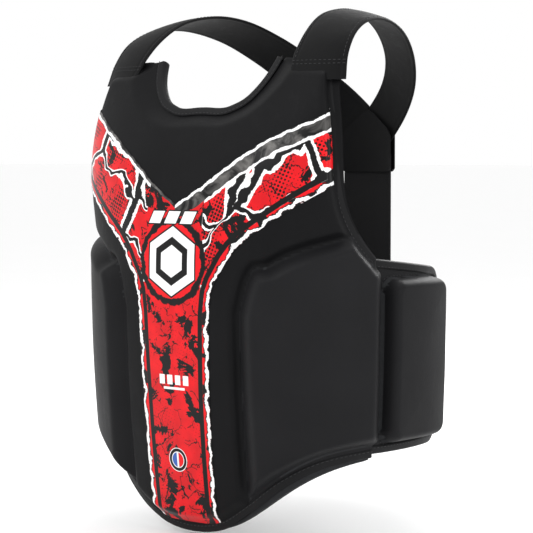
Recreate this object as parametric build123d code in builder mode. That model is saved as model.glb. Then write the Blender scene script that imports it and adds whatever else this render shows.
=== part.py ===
from build123d import *
from math import asin, atan2, copysign, cos, degrees, hypot, radians, sin
import os

# A padded chest guard for boxing and martial arts, in millimetres. It is worn: the wearer
# faces -Y, +X is the wearer's left and +Z is up. The origin is on the torso's axis at
# armpit height. Layers are given by their distance out from the lining's inner face.

# The torso form: a plan section of two half superellipses at every level.
waist_half_width = 164.0
chest_widening = 10.0
belly_depth = 124.0
back_depth = 171.0
chest_lean = 13.8  # how fast the chest falls back above the belly, per 100 mm squared
hem_lean = 3.0
belly_level = -60.0
shoulder_level = 150.0
belly_power = 2.4
shoulder_power = 4.0
back_power = 2.2

# Layers of the front panel and of the side wings.
lining_thick = 1.5
base_top = 7.0
chest_top = 16.5
rib_top = 24.5
side_base_top = 5.5
side_foam_top = 26.0
skin_thick = 1.5
print_thick = 0.8
tape_inner = -0.8
front_tape_outer = 8.5
side_tape_outer = 7.0
tape_wrap = 0.8
tape_clearance = 0.05
tape_width = 8.0

# Edges of the front panel, as seen from the front.
neck_depth = 100.0
neck_half_width = 98.0
shoulder_end = (162.0, 147.0)
hem_points = [(183, -236), (150, -247), (120, -265), (85, -291), (50, -311), (20, -318)]
hem_bottom = -319.0
groove_plane = 36.0  # the front panel ends this far ahead of the origin
side_front = -32.0
groove_width = 12.0
rib_inner_edge = 85.0
rib_front_limit = 42.0
rib_inset = 14.0
strap_zone = 124.0  # chest foam and cover stop below the shoulder straps' ends

# Side wings and their pads.
wing_top_front = -46.0
wing_top_back = -59.0
wing_bottom = -235.0
wing_back = 88.0
wing_corner = 22.0
side_pad_box = (-27.0, 68.0, -226.0, -65.0)
side_pad_corner = 14.0

# The jaw at the back end of each wing: two leaves that grip the waist strap's end.
stitch_point = (150.6, 75.8)
tab_angle = 50.0
tab_length = 60.0
hinge_point = (158.5, 79.0)
leaf_thick = 2.2
pile_thick = 0.8
gap = 0.3
strap_thick = 3.0
strap_shift = 3.0
strap_end = 30.0
strap_low = -168.0
strap_width = 66.0
back_axis = 28.0  # the waist strap's arc has its centre this far behind the origin

# The yoke and the upright strap at the back.
yoke_half_width = 34.0
yoke_levels = (37.0, 80.0, 107.0)
web_half_width = 32.0
web_low = -165.0
web_high = 56.0
shoulder_width_front = 58.0
shoulder_width_back = 48.0
shoulder_thick = 3.2
strap_lift = 3.2  # the shoulder strap's height over the panel's tape

os.makedirs("parts", exist_ok=True)


def form_point(angle, level, rise):
    # The angle runs from straight ahead towards the wearer's left, about the torso's axis.
    lift = (level - belly_level) / 100
    lean = chest_lean if lift > 0 else hem_lean
    widening = min(1, max(0, (level - belly_level) / 110))
    half_width = waist_half_width + chest_widening * widening**2 * (3 - 2 * widening)
    if lift < 0:
        half_width -= 1.5 * lift**2
    climb = min(1, max(0, (level - belly_level) / (shoulder_level - belly_level)))
    across = sin(radians(angle))
    ahead = cos(radians(angle))
    power = belly_power + (shoulder_power - belly_power) * climb**1.5
    depth = belly_depth - lean * lift**2
    if ahead < 0:
        power = back_power
        depth = back_depth
    scaled = (abs(across) / (half_width + rise)) ** power + (abs(ahead) / (depth + rise)) ** power
    reach = scaled ** (-1 / power)
    return (reach * across, -reach * ahead)


def ply(inner, outer, first, last, levels):
    # One curved layer between two distances from the form, over a range of angles.
    steps = 20
    angles = [first + (last - first) * step / steps for step in range(steps + 1)]
    with BuildPart() as layer:
        for level in levels:
            with BuildSketch(Plane.XY.offset(level)):
                with BuildLine():
                    near = Spline(*[form_point(angle, level, inner) for angle in angles])
                    far = Spline(*[form_point(angle, level, outer) for angle in angles])
                    Line(near @ 0, far @ 0)
                    Line(near @ 1, far @ 1)
                make_face()
        loft()
    return layer.part


def front_ply(inner, outer):
    return ply(inner, outer, -84, 84, range(-345, 176, 52))


def side_ply(inner, outer):
    return ply(inner, outer, 72, 136, range(-250, -29, 44))


def save(piece, name):
    piece.part.label = name
    export_step(piece.part, "parts/" + name + ".step")
    print(name, round(piece.part.volume / 1000, 2), "cm3", len(piece.part.solids()), "solid")


def mirrored(source, name):
    with BuildPart() as twin:
        add(source.part)
        mirror(about=Plane.YZ, mode=Mode.REPLACE)
    save(twin, name)
    return twin


# ---- outlines of the front panel ----


def moved_in(points, inset):
    # The same run of points, moved to its left by the inset, square to the run.
    moved = []
    for index, (x, z) in enumerate(points):
        before = points[max(index - 1, 0)]
        after = points[min(index + 1, len(points) - 1)]
        run = hypot(after[0] - before[0], after[1] - before[1])
        moved.append((x - inset * (after[1] - before[1]) / run, z + inset * (after[0] - before[0]) / run))
    return moved


def panel_outline(inset):
    # The whole panel from the front: neckline, shoulder tops and hem. Its flanks run past
    # the wearer, because the armholes and side grooves are cut by other shapes.
    neck_points = moved_in([(neck_half_width, 151), (90, 135), (70, 112), (45, 101), (0, neck_depth)], inset)
    lower_points = moved_in([(0, hem_bottom)] + hem_points[::-1], inset)
    shoulder = neck_points[0]
    with BuildSketch() as outline:
        with BuildLine():
            neck = Spline(*neck_points[1:])
            Line(neck_points[0], neck @ 0)
            hem = Spline(*lower_points)
            Line(neck @ 1, hem @ 0)
            Polyline(hem @ 1, (260, lower_points[-1][1] + 14), (260, shoulder_end[1] - inset), shoulder)
        make_face()
        mirror(about=Plane.YZ)
    return outline.sketch


def rib_region(grow):
    # The area of the left rib pad, open at the flank and the hem.
    edge = moved_in([(rib_inner_edge, -400), (rib_inner_edge, -98)], grow)
    upper = moved_in([(rib_inner_edge, -98), (93, -72), (118, -54), (168, -29), (230, -2)], grow)
    with BuildSketch() as region:
        with BuildLine():
            inner = Line(edge[0], edge[1])
            curve = Spline(inner @ 1, *upper[1:], tangents=[(0, 1), (2, 1)])
            Polyline(curve @ 1, (260, 0), (260, -400), inner @ 0)
        make_face()
    return region.sketch


def armhole_angle(level):
    # Where the armhole's edge stands on the form: steady by the chest, swinging out to the
    # wing's top below.
    if level > 100:
        return 65 + 2.2 * ((level - 100) / 47) ** 2
    if level > 50:
        return 65
    return 65 + 14 * ((50 - level) / 95) ** 2.6


def armhole_cutter(margin):
    # Everything outside the left armhole's edge, cut square to the panel.
    turn = degrees(margin / 175)
    with BuildPart() as cutter:
        for level in [-46, -34, -18, 4, 30, 65, 100, 135, 175]:
            edge = armhole_angle(level) - turn
            near = Vector(*form_point(edge, level, -12))
            far = Vector(*form_point(edge, level, 40))
            with BuildSketch(Plane.XY.offset(level)):
                with BuildLine():
                    Polyline(near, far, (330, far.Y), (330, 30), (110, 30), near)
                make_face()
        loft()
    return cutter.part


def panel_piece(layer, outline, margin, front_limit=groove_plane):
    # A layer of the front panel, trimmed by an outline, both armholes and the side grooves.
    cutter = armhole_cutter(margin)
    with BuildPart() as piece:
        add(layer)
        with BuildSketch(Plane.XZ.offset(front_limit)):
            add(outline)
        extrude(amount=200, mode=Mode.INTERSECT)
        add(cutter, mode=Mode.SUBTRACT)
        add(mirror(cutter, about=Plane.YZ), mode=Mode.SUBTRACT)
    return piece


def difference(piece, *tools):
    with BuildPart() as rest:
        add(piece.part)
        for tool in tools:
            add(tool.part, mode=Mode.SUBTRACT)
    return rest


# ---- the front panel ----

front_lining = panel_piece(front_ply(0, lining_thick), panel_outline(tape_wrap), tape_wrap)
save(front_lining, "front_lining")

front_base_foam = panel_piece(front_ply(lining_thick, base_top), panel_outline(tape_wrap), tape_wrap)
save(front_base_foam, "front_base_foam")

with BuildSketch() as chest_area:
    add(panel_outline(tape_width))
    add(rib_region(groove_width), mode=Mode.SUBTRACT)
    add(mirror(rib_region(groove_width), about=Plane.YZ), mode=Mode.SUBTRACT)
    with Locations((0, strap_zone + 100)):
        Rectangle(600, 200, mode=Mode.SUBTRACT)

chest_foam = panel_piece(front_ply(base_top, chest_top), chest_area.sketch, tape_width)
save(chest_foam, "chest_foam")

chest_cover = panel_piece(front_ply(chest_top, chest_top + skin_thick), chest_area.sketch, tape_width)
save(chest_cover, "chest_cover")


def rib_outline(inset):
    with BuildSketch() as outline:
        add(rib_region(-inset))
        add(panel_outline(rib_inset + inset), mode=Mode.INTERSECT)
    return outline.sketch


def rib_piece(inner, outer, inset):
    return panel_piece(
        front_ply(inner, outer), rib_outline(inset), tape_width + 2 + inset, rib_front_limit + inset
    )


left_rib_foam = rib_piece(base_top, rib_top, skin_thick)
save(left_rib_foam, "left_rib_foam")
mirrored(left_rib_foam, "right_rib_foam")

left_rib_block = rib_piece(base_top, rib_top + skin_thick, 0)
left_rib_core = rib_piece(base_top - 2, rib_top, skin_thick)
left_rib_cover = difference(left_rib_block, left_rib_core)
save(left_rib_cover, "left_rib_cover")
mirrored(left_rib_cover, "right_rib_cover")

with BuildSketch() as print_area:
    with BuildLine():
        left_top = Spline((0, 7), (60, 36), (120, 66), (230, 122))
        left_side = Line(left_top @ 1, (230, 52))
        left_low = Spline(left_side @ 1, (168, 24), (95, -20), (75, -37), (60, -59), (49, -80))
        foot = Polyline(left_low @ 1, (43, -309.5), (-43, -309.5), (-49, -80))
        right_low = Spline(foot @ 1, (-60, -59), (-75, -37), (-95, -20), (-168, 24), (-230, 52))
        right_side = Line(right_low @ 1, (-230, 150))
        Spline(right_side @ 1, (-120, 76), (-60, 40), left_top @ 0)
    make_face()
print_top = chest_top + skin_thick + print_thick
chest_print = panel_piece(front_ply(chest_top + skin_thick, print_top), print_area.sketch, tape_width + 2)
save(chest_print, "chest_print")

# The folded tape round the panel's edge: a wrapped wall with the lining and foam inside.
tape_block = panel_piece(front_ply(tape_inner, front_tape_outer), panel_outline(0), 0)
core_inset = tape_wrap - tape_clearance
core_layer = front_ply(-tape_clearance, base_top + tape_clearance)
tape_core = panel_piece(core_layer, panel_outline(core_inset), core_inset)
tape_window = panel_piece(front_ply(-5, 14), panel_outline(tape_width), tape_width)
panel_tape = difference(tape_block, tape_core, tape_window)


def tape_run(name, low, high, side_low, side_high):
    with BuildPart() as run:
        add(panel_tape.part)
        with BuildSketch(Plane.XZ):
            with Locations(((side_low + side_high) / 2, (low + high) / 2)):
                Rectangle(side_high - side_low, high - low)
        extrude(amount=300, mode=Mode.INTERSECT)
    save(run, name)
    return run


tape_run("neck_binding", 50, 250, -neck_half_width, neck_half_width)
tape_run("hem_binding", -400, -150, -300, 300)
left_armhole_binding = tape_run("left_armhole_binding", -100, 250, neck_half_width, 300)
mirrored(left_armhole_binding, "right_armhole_binding")

# ---- the side wings ----


def wing_outline(inset):
    front = side_front if inset < tape_width else side_front - 40
    back = wing_back - inset
    with BuildSketch() as outline:
        with BuildLine():
            Polyline(
                (front, wing_bottom + inset), (back, wing_bottom + inset),
                (back, wing_top_back - inset), (front, wing_top_front - inset), close=True,
            )
        make_face()
        fillet(outline.vertices().group_by(Axis.X)[-1], radius=wing_corner - inset)
    return outline.sketch


def pad_outline(inset):
    front, back, low, high = side_pad_box
    with BuildSketch() as outline:
        with Locations(((front + back) / 2, (low + high) / 2)):
            RectangleRounded(back - front - 2 * inset, high - low - 2 * inset, side_pad_corner - inset)
    return outline.sketch


def wing_piece(layer, outline):
    with BuildPart() as piece:
        add(layer)
        with BuildSketch(Plane.YZ):
            add(outline)
        extrude(amount=300, mode=Mode.INTERSECT)
    return piece


left_side_lining = wing_piece(side_ply(0, lining_thick), wing_outline(tape_wrap))
save(left_side_lining, "left_side_lining")
left_side_base = wing_piece(side_ply(lining_thick, side_base_top), wing_outline(tape_wrap))
save(left_side_base, "left_side_base")
left_side_foam = wing_piece(side_ply(side_base_top, side_foam_top), pad_outline(skin_thick))
save(left_side_foam, "left_side_foam")
left_side_block = wing_piece(side_ply(side_base_top, side_foam_top + skin_thick), pad_outline(0))
left_side_cover = difference(left_side_block, left_side_foam)
save(left_side_cover, "left_side_cover")
wing_block = wing_piece(side_ply(tape_inner, side_tape_outer), wing_outline(0))
wing_layer = side_ply(-tape_clearance, side_base_top + tape_clearance)
wing_core = wing_piece(wing_layer, wing_outline(core_inset))
wing_window = wing_piece(side_ply(-5, 12), wing_outline(tape_width))
left_side_binding = difference(wing_block, wing_core, wing_window)
save(left_side_binding, "left_side_binding")
mirrored(left_side_lining, "right_side_lining")
mirrored(left_side_base, "right_side_base")
mirrored(left_side_foam, "right_side_foam")
mirrored(left_side_cover, "right_side_cover")
mirrored(left_side_binding, "right_side_binding")

# ---- the jaws and the waist strap ----
# In plan, a jaw's own axes run from the stitch line towards the strap, and outwards.

along = (-cos(radians(tab_angle)), sin(radians(tab_angle)))
outward = (sin(radians(tab_angle)), cos(radians(tab_angle)))


def jaw_point(run, lift):
    return (
        stitch_point[0] + along[0] * run + outward[0] * lift,
        stitch_point[1] + along[1] * run + outward[1] * lift,
    )


strap_outer = strap_shift + strap_thick / 2
strap_inner = strap_shift - strap_thick / 2
hook_start = strap_outer + pile_thick + gap
outer_leaf_middle = hook_start + pile_thick + leaf_thick / 2
inner_leaf_middle = strap_inner - gap - leaf_thick / 2
strap_tip = jaw_point(tab_length, strap_shift)
strap_radius = hypot(strap_tip[0], strap_tip[1] - back_axis)


def jaw_plate(points, thick, trapezoid):
    # A bent plate drawn in plan, cut by its outline as seen from outside the jaw.
    cut_plane = Plane(
        origin=(stitch_point[0], stitch_point[1], 0), x_dir=(*along, 0), z_dir=(*outward, 0)
    )
    with BuildPart() as plate:
        with BuildSketch(Plane.XY.offset(-260)):
            with BuildLine():
                Polyline(*points)
            trace(line_width=thick)
        extrude(amount=220)
        with BuildSketch(cut_plane) as outline:
            with BuildLine():
                Polyline(*trapezoid, close=True)
            make_face()
            fillet(outline.vertices().group_by(Axis.X)[-1], radius=12)
        extrude(amount=60, both=True, mode=Mode.INTERSECT)
    return plate


outer_trapezoid = [(-14, -82), (-14, -203), (60, -173), (60, -97)]
inner_trapezoid = [(17, -93), (17, -190), (63, -170), (63, -91)]
pile_trapezoid = [(34, -104), (34, -166), (55, -166), (55, -104)]

leaf_path = [hinge_point, jaw_point(10.7, 12.5), jaw_point(23, outer_leaf_middle)]
leaf_path.append(jaw_point(tab_length + 1, outer_leaf_middle))
left_tab_outer = jaw_plate(leaf_path, leaf_thick, outer_trapezoid)
save(left_tab_outer, "left_tab_outer")
mirrored(left_tab_outer, "right_tab_outer")

inner_path = [jaw_point(16, inner_leaf_middle), jaw_point(tab_length + 4, inner_leaf_middle)]
left_tab_inner = jaw_plate(inner_path, leaf_thick, inner_trapezoid)
save(left_tab_inner, "left_tab_inner")
mirrored(left_tab_inner, "right_tab_inner")

hook_middle = hook_start + pile_thick / 2
hook_path = [jaw_point(30, hook_middle), jaw_point(tab_length, hook_middle)]
left_tab_hook = jaw_plate(hook_path, pile_thick, pile_trapezoid)
save(left_tab_hook, "left_tab_hook")
mirrored(left_tab_hook, "right_tab_hook")

loop_middle = strap_outer + pile_thick / 2
loop_path = [jaw_point(30, loop_middle), jaw_point(tab_length, loop_middle)]
left_strap_loop = jaw_plate(loop_path, pile_thick, pile_trapezoid)
save(left_strap_loop, "left_strap_loop")
mirrored(left_strap_loop, "right_strap_loop")

arc_reach = degrees(atan2(strap_tip[0], strap_tip[1] - back_axis))


def round_back(radius, thick, half_angle, low, high):
    # An upright plate bent on the waist strap's arc behind the wearer.
    with BuildPart() as plate:
        with BuildSketch(Plane.XY.offset(low)):
            with BuildLine():
                CenterArc((0, back_axis), radius, 90 - half_angle, 2 * half_angle)
            trace(line_width=thick)
        extrude(amount=high - low)
    return plate


with BuildPart() as waist_strap:
    with BuildSketch(Plane.XY.offset(strap_low)):
        with BuildLine():
            start = jaw_point(strap_end, strap_shift)
            left_run = Line(start, strap_tip)
            arc = CenterArc((0, back_axis), strap_radius, 90 - arc_reach, 2 * arc_reach)
            Line((-strap_tip[0], strap_tip[1]), (-start[0], start[1]))
        trace(line_width=strap_thick)
    extrude(amount=strap_width)
save(waist_strap, "waist_strap")

hook_radius = strap_radius - strap_thick / 2 - pile_thick / 2
waist_hook_patch = round_back(hook_radius, pile_thick, 12, strap_low + 3, strap_low + strap_width - 3)
save(waist_hook_patch, "waist_hook_patch")

# The bars printed on the waist strap, leaning like the chest print's arms.
with BuildPart() as strap_print:
    with BuildSketch(Plane.XY.offset(strap_low)):
        with BuildLine():
            CenterArc((0, back_axis), strap_radius + strap_thick / 2 + 0.15, 55, 70)
        trace(line_width=0.3)
    extrude(amount=strap_width)
    with BuildSketch(Plane.XZ):
        for middle in (-30, 0, 30):
            with BuildLine():
                Polyline(
                    (middle - 15, strap_low + 20), (middle + 3, strap_low + 20),
                    (middle + 15, strap_low + 46), (middle - 3, strap_low + 46), close=True,
                )
            make_face()
    extrude(amount=-300, mode=Mode.INTERSECT)
save(strap_print, "strap_print")

# ---- the upright strap and the yoke ----

loop_thick = 1.1
loop_outer = hook_radius - pile_thick / 2 - gap
web_outer = loop_outer - loop_thick
web_middle = web_outer - strap_thick / 2
web_angle = degrees(asin(web_half_width / web_middle))
back_strap = round_back(web_middle, strap_thick, web_angle, web_low, web_high)
save(back_strap, "back_strap")
back_strap_loop = round_back(web_outer + loop_thick / 2, loop_thick, web_angle, web_low, web_high)
save(back_strap_loop, "back_strap_loop")


def yoke_patch(radius, thick):
    low, shoulder, apex = yoke_levels
    patch = round_back(radius, thick, 20, low, apex)
    with BuildPart() as cut:
        add(patch.part)
        with BuildSketch(Plane.XZ):
            with BuildLine():
                Polyline(
                    (-yoke_half_width, low), (yoke_half_width, low), (yoke_half_width, shoulder),
                    (0, apex), (-yoke_half_width, shoulder), close=True,
                )
            make_face()
        extrude(amount=-300, mode=Mode.INTERSECT)
    return cut


patch_thick = 2.0
yoke_inner_patch = yoke_patch(web_outer - strap_thick - gap - patch_thick / 2, patch_thick)
save(yoke_inner_patch, "yoke_inner_patch")
yoke_outer_radius = loop_outer + gap + 1 + patch_thick / 2
yoke_outer_patch = yoke_patch(yoke_outer_radius, patch_thick)
save(yoke_outer_patch, "yoke_outer_patch")
size_label = round_back(loop_outer + 0.4, 0.3, 4.4, 29, 36)
save(size_label, "size_label")

# ---- the shoulder straps ----


def strap_section(centre, across, facing, width, crown):
    # One cross-section of a strap: a band bowed by its crown, in a plane square to its run.
    side = Vector(*across).normalized()
    out = Vector(*facing)
    out = (out - side * out.dot(side)).normalized()
    steps = (-1, -0.5, 0, 0.5, 1)
    with BuildSketch(Plane(origin=centre, x_dir=side, z_dir=side.cross(out))) as section:
        with BuildLine():
            near = Spline(*[(t * width / 2, -shoulder_thick / 2 - crown * t * t) for t in steps])
            far = Spline(*[(t * width / 2, shoulder_thick / 2 - crown * t * t) for t in steps])
            Line(near @ 0, far @ 0)
            Line(near @ 1, far @ 1)
        make_face()
    return section.sketch


def chest_section(level):
    # Where the strap lies on the panel's shoulder it takes the panel's own curve.
    rise = front_tape_outer + strap_lift + shoulder_thick / 2
    ahead = atan2(128, -form_point(62, level, rise)[1])
    middle = form_point(degrees(ahead), level, rise)
    inner = form_point(degrees(ahead) - 9, level, rise)
    outer = form_point(degrees(ahead) + 11, level, rise)
    across = (outer[0] - inner[0], outer[1] - inner[1], 0)
    facing = (-across[1] * -1, -across[0], 0)
    return ((*middle, level), across, facing, shoulder_width_front, 3)


strap_path = [
    chest_section(127),
    chest_section(150),
    ((126, -57, 169), (0.98, 0.18, -0.02), (0.1, -0.85, 0.52), 57, 2.5),
    ((120, -28, 188), (0.98, 0.12, -0.12), (0.1, -0.45, 0.88), 56, 2),
    ((113, 12, 196), (0.97, 0.10, -0.20), (0.2, 0.0, 0.98), 54, 1.5),
    ((103, 60, 190), (0.92, 0.15, -0.35), (0.35, 0.3, 0.88), 52, 1),
    ((87, 106, 169), (0.85, 0.10, -0.50), (0.35, 0.7, 0.6), 50, 1),
    ((64, 143, 139), (0.78, 0.0, -0.62), (0.25, 0.93, 0.25), 49, 0.8),
    ((38, 164.6, 112), (0.73, -0.05, -0.68), (0.15, 0.98, 0.05), shoulder_width_back, 0.8),
    ((10, 172.9, 84), (0.71, -0.03, -0.71), (0.05, 1, 0), shoulder_width_back, 0.8),
    ((-8, 172.9, 66), (0.71, 0.03, -0.71), (-0.05, 1, 0), shoulder_width_back, 0.8),
]

with BuildPart() as left_shoulder_strap:
    for place in strap_path:
        add(strap_section(*place))
    loft()
    with BuildSketch(Plane.XZ) as past_middle:
        with Locations((-99.7, 0)):
            Rectangle(200, 600)
        with Locations((0, -541)):
            Rectangle(200, 1200)
    extrude(amount=-300, mode=Mode.SUBTRACT)
save(left_shoulder_strap, "left_shoulder_strap")
mirrored(left_shoulder_strap, "right_shoulder_strap")

# The patch inside each shoulder, through which the strap is sewn.
with BuildPart() as left_strap_anchor:
    add(ply(-2.6, -1.4, 52, 66, [108, 122, 136]))
save(left_strap_anchor, "left_strap_anchor")
mirrored(left_strap_anchor, "right_strap_anchor")
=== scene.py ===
import math
import bpy
import numpy as np
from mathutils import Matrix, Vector


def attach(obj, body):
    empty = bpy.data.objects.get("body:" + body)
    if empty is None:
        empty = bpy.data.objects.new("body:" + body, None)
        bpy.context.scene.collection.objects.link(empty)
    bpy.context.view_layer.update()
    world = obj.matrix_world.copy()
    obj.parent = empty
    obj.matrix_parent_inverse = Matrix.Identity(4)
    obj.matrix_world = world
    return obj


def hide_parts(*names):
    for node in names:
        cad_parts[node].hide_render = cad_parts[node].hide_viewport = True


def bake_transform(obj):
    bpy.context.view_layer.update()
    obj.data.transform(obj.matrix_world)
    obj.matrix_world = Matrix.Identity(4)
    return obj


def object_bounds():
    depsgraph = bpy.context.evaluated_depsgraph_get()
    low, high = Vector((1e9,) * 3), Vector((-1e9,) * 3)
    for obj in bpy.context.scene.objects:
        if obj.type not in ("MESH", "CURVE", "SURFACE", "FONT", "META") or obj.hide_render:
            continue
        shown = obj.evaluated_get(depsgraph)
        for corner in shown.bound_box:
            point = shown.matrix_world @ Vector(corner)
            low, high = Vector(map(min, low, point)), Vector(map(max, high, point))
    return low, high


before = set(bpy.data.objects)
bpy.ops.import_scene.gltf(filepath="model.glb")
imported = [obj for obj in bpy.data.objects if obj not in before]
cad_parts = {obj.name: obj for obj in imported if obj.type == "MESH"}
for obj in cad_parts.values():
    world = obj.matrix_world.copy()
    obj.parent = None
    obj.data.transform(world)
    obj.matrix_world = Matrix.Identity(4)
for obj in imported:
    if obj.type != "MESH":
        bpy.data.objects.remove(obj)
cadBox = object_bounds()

# Lengths below are in millimetres until a mesh is made; mm turns them into metres.
mm = 0.001
rng = np.random.default_rng(7)

torso = {
    "halfWidth": 164.0, "widening": 10.0, "bellyDepth": 124.0, "backDepth": 171.0,
    "chestLean": 13.8, "hemLean": 3.0, "bellyLevel": -60.0, "shoulderLevel": 150.0,
    "bellyPower": 2.4, "shoulderPower": 4.0, "backPower": 2.2,
}
panel = {
    "neckX": [0, 45, 70, 90, 98], "neckZ": [99, 100.5, 112, 135, 150],
    "hemX": [0, 20, 50, 85, 120, 150, 183, 230],
    "hemZ": [-318.5, -317.5, -311, -291, -265, -247, -236, -222],
    "grooveAngle": 78.6, "chestRise": 18.0, "edgeRise": 8.2, "ribRise": 26.0, "grooveRise": 11.5,
    "columns": 221, "rows": 212,
}
ribs = {"edgeX": 78.5, "bendZ": -98.0, "bendX": [78.5, 86, 112, 168, 230], "bendZs": [-98, -70, -49, -24, 4],
        "chestRamp": 8.0, "padRamp": 13.0, "groove": 5.0, "hemInset": 13.0}
wing = {"front": -33.0, "back": 88.0, "bottom": -235.0, "topFront": -46.0, "topBack": -59.0, "corner": 22.0,
        "base": 5.9, "padRise": 27.3, "padBox": (-26.0, 68.0, -226.0, -65.0), "padCorner": 15.0, "ramp": 10.0}


sides = ((1, "left"), (-1, "right"))


def smooth(t):
    t = np.clip(t, 0, 1)
    return t * t * (3 - 2 * t)


def unit(vectors):
    return vectors / np.linalg.norm(vectors, axis=-1, keepdims=True)


def stacked(*values):
    # Coordinates, spread to one shape, side by side in a last axis.
    return np.stack(np.broadcast_arrays(*values), -1)


def lengthAlong(path):
    return np.concatenate([[0], np.cumsum(np.linalg.norm(np.diff(path, axis=0), axis=1))])


def easedRim(gap, edge, least=0.06):
    # A quarter round over the width of an edge: nearly 0 at the rim, 1 from there on.
    return np.sqrt(1 - (1 - np.clip(gap / edge, least, 1)) ** 2)


def formPoint(angle, level, rise):
    # Plan section: |x/A|^n + |y/B|^n = 1, along a ray at the angle; A and B grow with the rise.
    angle, level, rise = np.broadcast_arrays(*(np.asarray(v, float) for v in (angle, level, rise)))
    lift = (level - torso["bellyLevel"]) / 100
    narrowing = np.where(lift < 0, 1.5 * lift**2, 0)
    half = torso["halfWidth"] + torso["widening"] * smooth(lift * 100 / 110) - narrowing
    climb = np.clip((level - torso["bellyLevel"]) / (torso["shoulderLevel"] - torso["bellyLevel"]), 0, 1)
    across, ahead = np.sin(np.radians(angle)), np.cos(np.radians(angle))
    frontPower = torso["bellyPower"] + (torso["shoulderPower"] - torso["bellyPower"]) * climb**1.5
    power = np.where(ahead < 0, torso["backPower"], frontPower)
    frontDepth = torso["bellyDepth"] - np.where(lift > 0, torso["chestLean"], torso["hemLean"]) * lift**2
    depth = np.where(ahead < 0, torso["backDepth"], frontDepth)
    scaled = (np.abs(across) / (half + rise)) ** power + (np.abs(ahead) / (depth + rise)) ** power
    reach = scaled ** (-1 / power)
    return stacked(reach * across, -reach * ahead, level)


def formNormal(angle, level, rise):
    # Cross product of the two directions along the form, by small differences.
    alongTurn = formPoint(angle + 0.2, level, rise) - formPoint(angle - 0.2, level, rise)
    alongUp = formPoint(angle, level + 0.5, rise) - formPoint(angle, level - 0.5, rise)
    return unit(np.cross(alongTurn, alongUp))


def angleAt(x, z, rise=18.0):
    # The angle whose form point stands at x, by halving.
    x, z = np.broadcast_arrays(np.asarray(x, float), np.asarray(z, float))
    low, high = np.zeros(x.shape), np.full(x.shape, 89.0)
    for _ in range(22):
        middle = (low + high) / 2
        short = formPoint(middle, z, rise)[..., 0] < np.abs(x)
        low, high = np.where(short, middle, low), np.where(short, high, middle)
    return np.sign(x) * (low + high) / 2


def armAngle(z):
    # The armhole's edge: 65 degrees by the chest, swinging out to the wing's top below.
    z = np.asarray(z, float)
    low = 65 + 14 * np.clip((50 - z) / 95, 0, 1.05) ** 2.6
    high = 65 + 2.2 * (np.clip(z - 100, 0, 60) / 47) ** 2
    return np.minimum(np.where(z < 50, low, np.where(z > 100, high, 65.0)), panel["grooveAngle"])


def curveThrough(xs, ys, x):
    # A smooth cubic run through a few points, with slopes from their neighbours.
    xs, ys = np.asarray(xs, float), np.asarray(ys, float)
    slope = np.gradient(ys, xs)
    x = np.clip(x, xs[0], xs[-1])
    i = np.clip(np.searchsorted(xs, x) - 1, 0, len(xs) - 2)
    step = xs[i + 1] - xs[i]
    t = (x - xs[i]) / step
    h00, h10 = (1 + 2 * t) * (1 - t) ** 2, t * (1 - t) ** 2
    h01, h11 = t * t * (3 - 2 * t), t * t * (t - 1)
    return h00 * ys[i] + h10 * step * slope[i] + h01 * ys[i + 1] + h11 * step * slope[i + 1]


def neckZ(x):
    return curveThrough(panel["neckX"], panel["neckZ"], np.abs(x))


def hemZ(x):
    return curveThrough(panel["hemX"], panel["hemZ"], np.abs(x))


def makeMesh(name, points, faces, uv=None, layers=None):
    # Points in millimetres become a mesh in metres; uv is per point and copied to its corners.
    mesh = bpy.data.meshes.new(name)
    mesh.from_pydata((points.reshape(-1, 3) * mm).tolist(), [], faces)
    mesh.polygons.foreach_set("use_smooth", np.ones(len(mesh.polygons), bool))
    if uv is not None:
        corner = np.zeros(len(mesh.loops), np.int32)
        mesh.loops.foreach_get("vertex_index", corner)
        uvLayer = mesh.uv_layers.new(name="surface")
        uvLayer.data.foreach_set("uv", (uv[corner] * mm).astype(np.float32).ravel())
    for key, values in (layers or {}).items():
        attribute = mesh.attributes.new(key, "FLOAT", "POINT")
        attribute.data.foreach_set("value", np.asarray(values, np.float32).ravel())
    mesh.update()
    made = bpy.data.objects.new(name, mesh)
    bpy.context.collection.objects.link(made)
    return faceOut(made)


def faceOut(obj):
    # A closed mesh whose signed volume comes out negative is turned the right way round.
    mesh = obj.data
    mesh.calc_loop_triangles()
    places, corners = np.zeros(len(mesh.vertices) * 3), np.zeros(len(mesh.loop_triangles) * 3, np.int32)
    mesh.vertices.foreach_get("co", places)
    mesh.loop_triangles.foreach_get("vertices", corners)
    a, b, c = places.reshape(-1, 3)[corners.reshape(-1, 3)].transpose(1, 0, 2)
    if np.einsum("ij,ij->", a, np.cross(b, c)) < 0:
        mesh.flip_normals()
    return obj


def gridFaces(rows, columns, start=0, flip=False, wrap=False):
    # Four-sided faces over a grid of points; wrap joins the last column to the first.
    r, c = np.meshgrid(np.arange(rows - 1), np.arange(columns if wrap else columns - 1), indexing="ij")
    after = (c + 1) % columns
    corners = [r * columns + c, r * columns + after, (r + 1) * columns + after, (r + 1) * columns + c]
    faces = np.stack(corners, -1).reshape(-1, 4) + start
    return faces[:, ::-1] if flip else faces


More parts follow.
